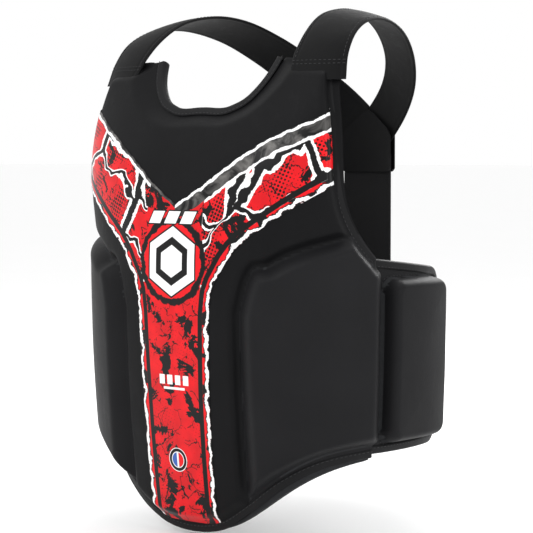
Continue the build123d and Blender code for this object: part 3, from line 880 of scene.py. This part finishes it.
def printStrip(sign, top):
    # Ruled between the middle line, then the arm's upper edge, and the outer edge. Rows are
    # matched in three lengths: column, elbow and arm.
    hem, crotch, start, last = artwork["hem"], artwork["crotch"], artwork["overlap"], artwork["reachX"]
    column = [(43.0, hem), (44.5, -180.0), (47.0, -100.0)]
    elbow = [(47.0, -100.0), (49.5, -80.0), (54.0, -68.5), (60.0, -59.0), (67.0, -47.5), (75.0, -37.5),
             (85.0, -28.0), (96.0, -20.0)]
    outerParts = [column, elbow, [(96.0, -20.0), (125.0, 0.0), (last, 30.0)]]
    upperEdge = [(start, crotch), (30.0, 24.0), (62.0, 47.0), (98.0, 69.5), (last, top)]
    innerParts = [[(start, hem), (start, -52.0)], [(start, -52.0), (start, crotch)], upperEdge]

    def joined(parts):
        # The last row of each length is the first of the next.
        ends = (1, 1, 0)
        return np.concatenate([polyPath(part, n + e)[:n] for part, n, e in zip(parts, artwork["rows"], ends)])

    inner, outer = joined(innerParts), joined(outerParts)
    t = np.linspace(0, 1, artwork["columns"])[None, :, None]
    flat = outer[:, None] * (1 - t) + inner[:, None] * t
    z = flat[..., 1]
    # The arm is cut off just inside the armhole's tape.
    angle = np.minimum(angleAt(flat[..., 0], z), armAngle(z) - artwork["armGap"])
    x = formPoint(angle, z, 18.0)[..., 0]
    spots = stacked(x, 0, z)
    outerFlat, innerFlat = (stacked(line[:, 0], 0, line[:, 1]) for line in (outer, inner))
    layers = {"px": sign * x, "pz": z, "outerGap": nearest(spots, evenly(outerFlat, 0.8)),
              "innerGap": nearest(spots, evenly(innerFlat[innerFlat[:, 2] >= crotch - 0.5], 0.8))}
    return sign * angle, z, riseAt(x, z), layers


for sign, label in sides:
    turn, z, height, layers = printStrip(sign, artwork["top"][label])
    strip = shell(label + "ChestPrint", formPoint(turn, z, height + artwork["lift"]),
                  formPoint(turn, z, height + 0.02), stacked(layers["px"], layers["pz"]), layers)
    finishPiece(strip, "chestPrint", "front", "print", "chest_print")
print("print ready")

# The side wings.


def angleAtDepth(y, z, rise=18.0):
    # The angle whose form point stands at y, by halving; beyond the side the form turns back.
    y, z = np.broadcast_arrays(np.asarray(y, float), np.asarray(z, float))
    low, high = np.full(y.shape, 50.0), np.full(y.shape, 140.0)
    for _ in range(24):
        middle = (low + high) / 2
        ahead = formPoint(middle, z, rise)[..., 1] < y
        low, high = np.where(ahead, middle, low), np.where(ahead, high, middle)
    return (low + high) / 2


def wingLimits(y):
    # Top and bottom of the wing at a depth y, with the two back corners rounded.
    share = (y - wing["front"]) / (wing["back"] - wing["front"])
    top = wing["topFront"] + (wing["topBack"] - wing["topFront"]) * share
    past = np.clip(y - (wing["back"] - wing["corner"]), 0, wing["corner"])
    cut = wing["corner"] - np.sqrt(np.maximum(wing["corner"] ** 2 - past**2, 0))
    return top - cut, wing["bottom"] + cut


def padRise(y, z):
    # A thick block with upright, rounded sides; the distance inside a rounded rectangle sets it.
    y0, y1, z0, z1 = wing["padBox"]
    r = wing["padCorner"]
    dy = np.abs(y - (y0 + y1) / 2) - ((y1 - y0) / 2 - r)
    dz = np.abs(z - (z0 + z1) / 2) - ((z1 - z0) / 2 - r)
    away = np.hypot(np.maximum(dy, 0), np.maximum(dz, 0)) + np.minimum(np.maximum(dy, dz), 0) - r
    # Upright at the foot and rounded over at the top: a squared quarter round.
    block = (1 - (1 - np.clip(-away / wing["ramp"], 0, 1)) ** 2.6) ** 0.55
    return wing["base"] + (wing["padRise"] - 0.8 - wing["base"]) * block + 0.8 * smooth(-away / 45), away


def padFoot():
    # A rounded rectangle just outside the pad, open towards the hinge, as depths and levels.
    y0, y1, z0, z1 = wing["padBox"]
    around, grow, power = np.linspace(0, 2 * np.pi, 500), 2.4, 9.0
    halfY, halfZ = (y1 - y0) / 2 + grow, (z1 - z0) / 2 + grow
    reach = (np.abs(np.cos(around) / halfY) ** power + np.abs(np.sin(around) / halfZ) ** power) ** (-1 / power)
    y, z = (y0 + y1) / 2 + reach * np.cos(around), (z0 + z1) / 2 + reach * np.sin(around)
    keep = y > wing["front"] + 1.5
    order = np.roll(np.arange(500), -int(np.argmin(keep)))
    order = order[keep[order]]
    return y[order], z[order]


span = wing["back"] - wing["front"]
depth = wing["front"] + span * (1 - (1 - np.linspace(0, 1, 130)) ** 1.35)
depth[-1] = wing["back"] - 0.15
wingTop, wingBottom = wingLimits(depth)
wingZ = wingBottom + (wingTop - wingBottom) * np.linspace(0, 1, 190)[:, None]
wingY = np.broadcast_to(depth, wingZ.shape)
wingAngle = angleAtDepth(wingY, wingZ)
wingHigh, wingAway = padRise(wingY, wingZ)
wingHigh = wingHigh + 0.3 * softNoise(wingY, wingZ, 60, 5) * smooth(-wingAway / 12)
outlineY = wing["front"] + span * (1 - (1 - np.linspace(0, 1, 160)) ** 2)
outlineTop, outlineBottom = wingLimits(outlineY)
wingLoopY = np.concatenate([outlineY, outlineY[::-1]])
wingLoopZ = np.concatenate([outlineTop, outlineBottom[::-1]])
footY, footZ = padFoot()
stripY, stripZ = np.meshgrid(np.linspace(-43.5, -25.5, 15), np.linspace(-234.5, -50.5, 120))
stripDip = 1.1 * np.exp(-(((stripY + 34.5) / 3.0) ** 2))


def wingLayer(label, kind, outer, inner, part, material, slotName):
    body, turn = label + "_side", (1 if label == "left" else -1) * wingAngle
    uv = None if part is coarse else stacked(wingY, wingZ)[part]
    made = shell(label + "Side" + kind, formPoint(turn, wingZ, outer)[part],
                 formPoint(turn, wingZ, inner)[part], uv)
    finishPiece(made, material, body, slotName, body + "_" + kind.lower())


def hingeStrip(name, sign, outer, inner, material):
    # The thin strip that joins panel and wing.
    turn = sign * angleAtDepth(stripY, stripZ)
    made = shell(name, formPoint(turn, stripZ, outer), formPoint(turn, stripZ, inner), stacked(stripY, stripZ))
    bendPiece(made, material)


for sign, label in sides:
    body = label + "_side"
    wingLayer(label, "Cover", wingHigh, wingHigh - 1.1, np.s_[:, :], "padLeather", "pad_leather")
    wingLayer(label, "Foam", np.maximum(wingHigh - 1.25, 4.9), 4.6, coarse, "foam", "foam")
    wingLayer(label, "Base", 4.5, 1.6, coarse, "foam", "foam")
    wingLayer(label, "Lining", 1.4, 0.15 + 0.2 * softNoise(wingY, wingZ, 40, 8), half, "lining", "lining")
    bindEdge(label + "SideBinding", sign * angleAtDepth(wingLoopY, wingLoopZ, 3.0), wingLoopZ,
             np.array([sign * 175.0, 20.0, -145.0]), body, body + "_binding", front=7.6, width=7.6)
    footTurn = sign * angleAtDepth(footY, footZ)
    sewn(label + "PadStitch", formPoint(footTurn, footZ, wing["base"] + 0.25),
         formNormal(footTurn, footZ, 6.0), body, "pad_leather")
    hingeStrip(label + "HingeStrip", sign, 6.5 - stripDip, 5.4 - stripDip,
               "padLeather")
    hingeStrip(label + "HingeLining", sign, 1.3, 0.3, "lining")
print("wings ready")

# The jaws' leaves and the waist strap.
jaw = {
    "originX": 150.6, "originY": 75.8, "angle": 50.0, "tip": 12.0, "thick": 2.2,
    "outerPath": [(-2.6, 8.1), (3.6, 10.6), (10.7, 12.2), (17.0, 9.9), (24.0, 7.5), (61, 7.5)],
    "outerEnds": ((-14, -82, -203), (60, -97, -173)),
    "innerPath": [(15.5, 0.1), (30, 0.1), (45, 0.1), (64, 0.1)],
    "innerEnds": ((17, -93, -190), (63, -91, -170)),
}
strap = {
    "centreY": 28.0, "radius": 149.1, "top": -102.0, "bottom": -168.0,
    "straightFrom": 30.0, "straightTo": 60.2, "arc": 50.0,
}


def jawPoint(run, lift, sign=1):
    c, s = math.cos(math.radians(jaw["angle"])), math.sin(math.radians(jaw["angle"]))
    return sign * (jaw["originX"] - run * c + lift * s), jaw["originY"] + run * s + lift * c


def behind(turn, reach, z):
    # A place on the arc round the wearer's back.
    return stacked(reach * np.sin(turn), strap["centreY"] + reach * np.cos(turn), z)


def roundedPlate(name, path, normal, top, bottom, tip, thick, edge=0.9, crown=0.0, rows=70):
    # A leaf along a plan path: every station spans from bottom to top, with the two tip corners
    # rounded, and its rim eased over so that the edge reads as folded leather.
    run = lengthAlong(path)
    past = np.clip(run - (run[-1] - tip), 0, tip)
    cut = tip - np.sqrt(np.maximum(tip**2 - past**2, 0))
    high, low = top - cut, bottom + cut
    q = np.sin(np.linspace(-np.pi / 2, np.pi / 2, rows)) * 0.5 + 0.5
    z = low + (high - low) * (0.35 * q + 0.65 * np.linspace(0, 1, rows))[:, None]
    gap = np.minimum(np.minimum(z - low, high - z), (run[-1] - run)[None, :])
    over = thick / 2 * easedRim(gap, edge) + crown * smooth(gap / 14)
    base, out = stacked(path[:, 0], path[:, 1], z), stacked(normal[:, 0], normal[:, 1], 0 * z)
    return shell(name, base + out * over[..., None], base - out * thick / 2 * 0.9, stacked(run[None, :], z))


def planNormal(path, awayFrom=(0.0, 28.0)):
    forward = np.gradient(path, axis=0)
    normal = unit(np.stack([forward[:, 1], -forward[:, 0]], -1))
    return -normal if np.einsum("ij,ij->", normal, path - np.array(awayFrom)) < 0 else normal


def rimPath(path, normal, top, bottom, tip, inset, lift):
    # Line round the three free sides of a leaf at a set distance in from its edge.
    run = lengthAlong(path)
    reach, corner = run[-1] - inset, max(tip - inset, 0.5)
    turn = np.linspace(0, np.pi / 2, 14)[1:]
    straightRun = np.linspace(0.8, reach - corner, 60)
    foot = reach - corner
    runs = np.concatenate([straightRun, foot + corner * np.sin(turn), np.full(30, reach),
                           foot + corner * np.cos(turn), straightRun[::-1][1:]])

    def topAt(r):
        return np.interp(r, run, top) - inset * 1.05

    def bottomAt(r):
        return np.interp(r, run, bottom) + inset * 1.05

    endTop, endLow = topAt(reach - corner * 0.5) - corner, bottomAt(reach - corner * 0.5) + corner
    z = np.concatenate([topAt(straightRun), endTop + corner * np.cos(turn),
                        np.linspace(endTop, endLow, 32)[1:-1],
                        endLow - corner * np.sin(turn), bottomAt(straightRun)[::-1][1:]])
    x, y = np.interp(runs, run, path[:, 0]), np.interp(runs, run, path[:, 1])
    out = stacked(np.interp(runs, run, normal[:, 0]), np.interp(runs, run, normal[:, 1]), 0)
    return stacked(x, y, z) + out * lift, out


def tapeAlong(name, line, out, width, thick, body):
    # A flat ribbon with rounded edges: a squared oval carried along the line.
    turn = np.linspace(0, 2 * np.pi, 20, endpoint=False)
    across = np.sign(np.cos(turn)) * np.abs(np.cos(turn)) ** 0.55 * width / 2
    high = np.sign(np.sin(turn)) * np.abs(np.sin(turn)) ** 0.8 * thick / 2
    line, out = evenly(line, 1.6, out)
    side = unit(np.cross(out, np.gradient(line, axis=0)))
    ribbon = sweep(name, line, side, unit(out), stacked(across, high))
    finishPiece(ribbon, "tapeLeather", body, "strap_leather")


def leafLines(points, ends, sign):
    # Plan path and upper and lower limits of a leaf from its driving points and end heights.
    runLift = np.asarray(points, float)
    t = lengthAlong(runLift)
    at = np.linspace(0, t[-1], 60)
    runs = curveThrough(t, runLift[:, 0], at)
    path = np.stack(jawPoint(runs, curveThrough(t, runLift[:, 1], at), sign), -1)
    (r0, top0, bottom0), (r1, top1, bottom1) = ends
    share = (runs - r0) / (r1 - r0)
    return path, planNormal(path), top0 + (top1 - top0) * share, bottom0 + (bottom1 - bottom0) * share


def rootSeam(name, leaf, inset, body):
    # A row of stitches across the leaf at a set distance from its root.
    path = leaf[0]
    k = np.interp(inset, lengthAlong(path), np.arange(len(path)))
    lines = (path[:, 0], path[:, 1], leaf[1][:, 0], leaf[1][:, 1], leaf[2], leaf[3])
    x, y, outX, outY, top, bottom = (np.interp(k, np.arange(len(path)), values) for values in lines)
    z = np.linspace(bottom + 3, top - 3, 80)
    sewn(name, stacked(x + outX * 1.3, y + outY * 1.3, z), stacked(outX, outY, 0 * z), body, "strap_leather")


def bareLeaf(name, leaf, crown=0.0):
    return roundedPlate(name, *leaf, jaw["tip"], jaw["thick"], crown=crown)


for sign, label in sides:
    flap = label + "_flap"
    leaf = leafLines(jaw["outerPath"], jaw["outerEnds"], sign)
    finishPiece(bareLeaf(label + "TabOuter", leaf, 0.25), "strapLeather", flap, "strap_leather",
                label + "_tab_outer")
    tapeAlong(label + "TabTape", *rimPath(*leaf, jaw["tip"], 2.4, 0.95), 6.4, 1.5, flap)
    sewn(label + "TabStitch", *rimPath(*leaf, jaw["tip"], 4.6, 1.75), flap, "strap_leather")
    for inset in (2.2, 6.4):
        rootSeam(label + "TabRoot%d" % int(inset), leaf, inset, flap)
    leaf = leafLines(jaw["innerPath"], jaw["innerEnds"], sign)
    if label == "right":
        finishPiece(bareLeaf("rightTabInner", leaf), "strapLeather", "right_side", "strap_leather",
                    "right_tab_inner")
        tapeAlong("rightInnerTape", *rimPath(*leaf, jaw["tip"], 2.4, 0.95), 6.0, 1.4, "right_side")
    else:
        # The closed jaw's inner leaf lies between the wing and the strap it holds; it is baked in place with no
        # body.
        bent = bareLeaf("leftTabInner", leaf)
        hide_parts("left_tab_inner")
        bendPiece(bent, "strapLeather")

# The strap's middle line: straight inside each jaw, then round the back on an arc.
x, y = jawPoint(np.linspace(strap["straightFrom"], strap["straightTo"], 24)[:-1], 3.0)
turn = np.radians(np.linspace(strap["arc"], -strap["arc"], 240))
arcX, arcY = strap["radius"] * np.sin(turn), strap["centreY"] + strap["radius"] * np.cos(turn)
path = np.stack([np.concatenate([x, arcX, -x[::-1]]), np.concatenate([y, arcY, y[::-1]])], -1)
normal = planNormal(path)
run = lengthAlong(path)
z = np.linspace(strap["bottom"], strap["top"], 45)[:, None]
gap = np.minimum(z - strap["bottom"], strap["top"] - z)
bulge = 1.5 * easedRim(gap, 1.6, 0.05) - 0.55 * np.exp(-(((gap - 8.2) / 1.1) ** 2))
bulge = bulge + 0.12 * softNoise(run[None, :], z, 45, 12)
place, out = stacked(path[:, 0], path[:, 1], z), stacked(normal[:, 0], normal[:, 1], 0 * z)
waistStrap = shell("waistStrap", place + out * bulge[..., None], place - out * 1.35, stacked(run, z))
finishPiece(waistStrap, "strapLeather", "waist_strap", "strap_leather", "waist_strap")
flatOut = stacked(normal[:, 0], normal[:, 1], 0)
for name, edge, inward in (("strapTop", strap["top"], -1), ("strapBottom", strap["bottom"], 1)):
    line = stacked(path[:, 0], path[:, 1], edge + inward * 3.4) + flatOut * 1.25
    tapeAlong(name + "Tape", line, flatOut, 7.2, 1.1, "waist_strap")
    line = stacked(path[:, 0], path[:, 1], edge + inward * 5.6) + flatOut * 1.85
    sewn(name + "Stitch", line, flatOut, "waist_strap", "strap_leather")

# Slanting white bars printed across the strap's middle.
q, t = np.meshgrid(np.linspace(0, 1, 16), np.linspace(-1, 1, 14), indexing="ij")
for index, middle in enumerate((-30.0, 0.0, 30.0)):
    turn = (middle + t * 9.5 + (q - 0.5) * 9.0) / (strap["radius"] + 1.6)
    high, reach = -148.0 + 26.0 * q, strap["radius"] + 1.62
    bar = shell("strapBar%d" % index, behind(turn, reach, high), behind(turn, reach - 0.3, high))
    finishPiece(bar, "strapInk", "waist_strap", "strap_print", "strap_print")
print("waist strap ready")


def bentPatch(name, radius, thick, halfWidth, low, high, material, body, slotName, replaced,
              size=(50, 60), edge=0.8, fuzz=0.0):
    # A flat patch bent round the back's arc, with its rim eased over.
    across, z = np.meshgrid(np.linspace(-halfWidth, halfWidth, size[0]), np.linspace(low, high, size[1]))
    gap = np.minimum(halfWidth - np.abs(across), np.minimum(z - low, high - z))
    grow = easedRim(gap, edge) * thick / 2
    if fuzz:
        grow = grow + fuzz * rng.uniform(-1, 1, grow.shape) * smooth(gap / 2)
    turn = across / radius
    made = shell(name, behind(turn, radius + grow, z), behind(turn, radius - thick / 2 * 0.9, z),
                 stacked(across, z), {"px": across, "pz": z})
    finishPiece(made, material, body, slotName, replaced)


bentPatch("backStrap", 143.9, 3.0, 32.0, -165.0, 56.0, "webbing", "yoke", "webbing", "back_strap", (44, 120))
bentPatch("backStrapLoop", 145.9, 1.2, 29.0, -163.0, 36.0, "loopPile", "yoke", "loop_pile",
          "back_strap_loop", (90, 280), 1.5, 0.18)
bentPatch("waistHookPatch", 147.2, 0.8, 30.0, -165.0, -105.0, "hookTape", "waist_strap", "hook_tape",
          "waist_hook_patch")
z = np.linspace(-162, 34, 140)
for sign, label in ((-1, "Right"), (1, "Left")):
    turn = sign * 30.4 / 145.4 + 0 * z
    out = stacked(np.sin(turn), np.cos(turn), 0)
    sewn("backStitch" + label, behind(turn, 145.6, z), out, "yoke", "webbing")


def jawPatch(name, sign, lift, material, body, slotName, replaced):
    path = np.stack(jawPoint(np.linspace(34, 55, 24), lift, sign), -1)
    top, bottom = np.full(24, -104.0), np.full(24, -166.0)
    patch = roundedPlate(name, path, planNormal(path), top, bottom, 3.0, 0.8, 0.5, rows=40)
    finishPiece(patch, material, body, slotName, replaced)


for sign, label in sides:
    jawPatch(label + "StrapLoop", sign, 4.85, "loopPile", "waist_strap", "loop_pile", label + "_strap_loop")
    jawPatch(label + "TabHook", sign, 6.0, "hookTape", label + "_flap", "hook_tape", label + "_tab_hook")
print("patches ready")

# The yoke: two leather patches that hold both strap ends and the back strap.
yoke = {"halfWidth": 34.0, "low": 37.0, "shoulder": 80.0, "apex": 107.0, "thick": 2.0, "seamIn": 4.2}


def yokePlate(name, radius, material, replaced, outward):
    # A five-sided plate with softly rounded corners: square below, a blunt point above.
    halfWidth, low, shoulder, apex, thick, inset = yoke.values()
    across = np.linspace(-1, 1, 91)
    across = (0.5 * np.sin(across * np.pi / 2) + 0.5 * across)[None, :] * halfWidth
    side = np.abs(across)
    top = apex - (apex - shoulder) * side / halfWidth
    top = top - 2.5 * np.exp(-((side / 5.0) ** 2)) - 4.0 * np.clip((side - halfWidth + 6) / 6, 0, 1) ** 2
    bottom = low + 4.0 * np.clip((side - halfWidth + 5) / 5, 0, 1) ** 2
    q = np.linspace(0, 1, 101)[:, None]
    z = bottom + (top - bottom) * ((0.5 - 0.5 * np.cos(np.pi * q)) * 0.4 + q * 0.6)
    gap = np.minimum(np.minimum(z - bottom, (top - z) * 0.78), halfWidth - side)
    grow = thick / 2 * easedRim(gap, 1.3, 0.05)
    if outward:
        grow = grow + 0.9 * smooth((gap - 5.5) / 10) - 0.35 * np.exp(-(((gap - 4.2) / 0.9) ** 2))
    turn, across = across / radius + 0 * z, across + 0 * z
    made = shell(name, behind(turn, radius + grow, z), behind(turn, radius - thick / 2 * 0.9, z),
                 stacked(across, z), {"px": across, "pz": z})
    finishPiece(made, material, "yoke", "leather", replaced)
    if outward:
        right, foot, knee = halfWidth - inset, low + inset, shoulder - 4
        corners = [(-right, knee), (-right, foot), (right, foot), (right, knee),
                   (0.0, apex - inset * 1.6), (-right, knee)]
        flat = polyPath(corners, 400)
        bend = flat[:, 0] / radius
        out = stacked(np.sin(bend), np.cos(bend), 0)
        sewn(name + "Stitch", behind(bend, radius + thick / 2 + 0.1, flat[:, 1]), out, "yoke", "leather")


yokePlate("yokeOuter", 148.8, "yokeLeather", "yoke_outer_patch", True)
yokePlate("yokeInner", 141.1, "shoulderLeather", "yoke_inner_patch", False)
bentPatch("sizeLabel", 146.9, 0.35, 11.3, 28.6, 37.5, "label", "yoke", "label", "size_label", (30, 14), 0.2)
print("yoke ready")

# The shoulder straps.
shoulder = {
    "thick": 3.2, "stations": 300, "across": 33, "chestRise": 13.3, "seam": 3.6, "cutX": 0.4, "cutZ": 59.0,
}


def chestSection(level):
    # Where the strap lies on the panel's shoulder it takes the panel's own curve.
    ahead = np.degrees(np.arctan2(128, -formPoint(62, level, shoulder["chestRise"])[1]))
    middle, inner, outer = (formPoint(ahead + d, level, shoulder["chestRise"]) for d in (0, -9, 11))
    across = outer - inner
    return middle, (across[0], across[1], 0), (across[1], -across[0], 0), 58, 3


# Each section: its middle, the way across, the way it faces, its width and its crown.
shoulderSections = [
    chestSection(127), chestSection(150),
    ((126, -57, 169), (0.98, 0.18, -0.02), (0.1, -0.85, 0.52), 57, 2.5),
    ((120, -28, 188), (0.98, 0.12, -0.12), (0.1, -0.45, 0.88), 56, 2),
    ((113, 12, 196), (0.97, 0.10, -0.20), (0.2, 0.0, 0.98), 54, 1.5),
    ((103, 60, 190), (0.92, 0.15, -0.35), (0.35, 0.3, 0.88), 52, 1),
    ((87, 106, 169), (0.85, 0.10, -0.50), (0.35, 0.7, 0.6), 50, 1),
    ((64, 143, 139), (0.78, 0.0, -0.62), (0.25, 0.93, 0.25), 49, 0.8),
    ((38, 164.6, 112), (0.73, -0.05, -0.68), (0.15, 0.98, 0.05), 48, 0.8),
    ((10, 172.9, 84), (0.71, -0.03, -0.71), (0.05, 1, 0), 48, 0.8),
    ((-8, 172.9, 66), (0.71, 0.03, -0.71), (-0.05, 1, 0), 48, 0.8),
]


def shoulderStrap(sign, label):
    centres, acrosses, facings = (np.array([s[k] for s in shoulderSections], float) for k in range(3))
    widths, crowns = (np.array([s[k] for s in shoulderSections], float) for k in (3, 4))
    knots = lengthAlong(centres)
    at = np.linspace(0, knots[-1], shoulder["stations"])

    def smoothly(values):
        return np.stack([curveThrough(knots, values[:, k], at) for k in range(3)], -1)

    middle, across = smoothly(centres), unit(smoothly(unit(acrosses)))
    out = smoothly(unit(facings))
    out = unit(out - across * (out * across).sum(1, keepdims=True))
    width, crown = curveThrough(knots, widths, at), curveThrough(knots, crowns, at)
    t = np.linspace(-1, 1, shoulder["across"])
    t = (0.6 * t + 0.4 * np.sin(t * np.pi / 2))[None, :]
    gap = (1 - np.abs(t)) * width[:, None] / 2
    rim, groove = easedRim(gap, 1.7, 0.05), 0.5 * np.exp(-(((gap - 5.2) / 0.9) ** 2))
    # Slight creases where the strap bends over the shoulder.
    crease = 0.25 * softNoise(at[:, None], t * 24, 42, 15 + (sign > 0)) * smooth(gap / 6)
    thin = shoulder["thick"] / 2
    drop = -crown[:, None] * t**2
    slide = middle[:, None] + across[:, None] * (t[..., None] * width[:, None, None] / 2)
    top = slide + out[:, None] * (drop + thin * rim - groove + crease + 0.25 * smooth(gap / 12))[..., None]
    under = slide + out[:, None] * (drop - thin * rim + groove * 0.6 + crease)[..., None]
    # The back end is cut square along the middle and tucked between the yoke's patches.
    for grid in (top, under):
        grid[..., 0] = np.maximum(grid[..., 0], shoulder["cutX"])
        grid[..., 2] = np.maximum(grid[..., 2], shoulder["cutZ"] + 0.02 * grid[..., 0])
    mirror = np.array([sign, 1, 1])
    made = shell(label + "ShoulderStrap", top * mirror, under * mirror, stacked(at[:, None], t * 26))
    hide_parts(label + "_shoulder_strap")
    pieces = [(made, "shoulderLeather")]
    for edge, name in ((-1, "In"), (1, "Out")):
        u = edge * (1 - 2 * shoulder["seam"] / width)
        base = middle + across * (u * width / 2)[:, None] + out * (-crown * u**2 + thin + 0.12)[:, None]
        keep = (at > 26) & (base[:, 0] > 30)
        seam = stitches(label + "ShoulderStitch" + name, base[keep] * mirror, out[keep] * mirror)
        pieces.append((seam, "thread"))
    for piece, material in pieces:
        bendPiece(piece, material)
    # Two rows of stitches hold the strap's front end on the panel.
    for row, distance in enumerate((17.0, 21.5)):
        k = np.argmin(np.abs(at - distance))
        line = (slide[k] + out[k] * (drop[k] + thin + 0.25)[:, None])[2:-2]
        facing = np.broadcast_to(out[k], line.shape)
        sewn(label + "StrapEnd%d" % row, line * mirror, facing * mirror, "front", "strap_leather")


def strapAnchor(sign, label):
    # The webbing patch inside the shoulder, through which the strap is sewn.
    turn, z = np.meshgrid(sign * np.linspace(52, 66, 30), np.linspace(108, 136, 24))
    gap = np.minimum(np.minimum(z - 108, 136 - z), (7 - np.abs(np.abs(turn) - 59)) * 2.6)
    low = -2.0 - 0.6 * easedRim(gap, 1.2, 0.08)
    anchor = shell(label + "StrapAnchor", formPoint(turn, z, -1.4), formPoint(turn, z, low),
                   stacked(turn * 2.6, z))
    finishPiece(anchor, "webbing", "front", "webbing", label + "_strap_anchor")


for sign, label in sides:
    shoulderStrap(sign, label)
    strapAnchor(sign, label)
print("shoulder straps ready")

# The base foam is carried over from the frame with the foam's finish.
baseFoam = bpy.data.objects["front_base_foam"]
baseFoam.data.materials.clear()
baseFoam.data.materials.append(finishes["foam"])

# Floor, lights and camera.
studio = {
    "floorHalf": 60.0, "floorGap": 0.004,
    "azimuth": 41.0, "away": 2.1, "height": 0.055, "aim": (0.0, 0.0, -0.06), "lens": 137.5, "sensor": 36.0,
    "lights": {  # place, aim, size and power
        "key": ((-0.6, -2.0, 1.6), (0, 0, -0.05), 1.2, 14), "fill": ((2.4, -0.8, 0.7), (0, 0, -0.05), 1.4, 12),
        "top": ((0.1, 0.2, 2.2), (0, 0, 0), 1.5, 12), "rim": ((-0.6, 2.2, 1.0), (0, 0, 0), 1.2, 24),
    },
}


def inScene(name, data):
    made = bpy.data.objects.new(name, data)
    bpy.context.collection.objects.link(made)
    return made


wide, floorZ = studio["floorHalf"], cadBox[0][2] - studio["floorGap"]
floorMesh = bpy.data.meshes.new("floor")
corners = [(-wide, -wide, floorZ), (wide, -wide, floorZ), (wide, wide, floorZ), (-wide, wide, floorZ)]
floorMesh.from_pydata(corners, [], [(0, 1, 2, 3)])
floorMesh.materials.append(plainInk("floorLook", (0.96, 0.96, 0.96), (0.975, 0.975, 0.975), 3.0, 2.0, 0.9))
inScene("floor", floorMesh)

world = bpy.data.worlds.new("studio")
world.use_nodes = True
world.node_tree.nodes["Background"].inputs["Color"].default_value = (1.0, 1.0, 1.0, 1)
world.node_tree.nodes["Background"].inputs["Strength"].default_value = 1.0
bpy.context.scene.world = world
for name, (place, aim, size, power) in studio["lights"].items():
    light = bpy.data.lights.new(name, "AREA")
    light.shape, light.size, light.energy = "SQUARE", size, power
    lamp = inScene(name, light)
    lamp.location = place
    lamp.rotation_euler = (Vector(aim) - Vector(place)).to_track_quat("-Z", "Y").to_euler()

camera = inScene("camera", bpy.data.cameras.new("camera"))
azimuth = math.radians(studio["azimuth"])
camera.location = (studio["away"] * math.sin(azimuth), -studio["away"] * math.cos(azimuth), studio["height"])
camera.rotation_euler = (Vector(studio["aim"]) - camera.location).to_track_quat("-Z", "Y").to_euler()
camera.data.lens, camera.data.sensor_width = studio["lens"], studio["sensor"]
camera.data.dof.use_dof = False
bpy.context.scene.camera = camera
bpy.context.scene.view_settings.view_transform = "Standard"
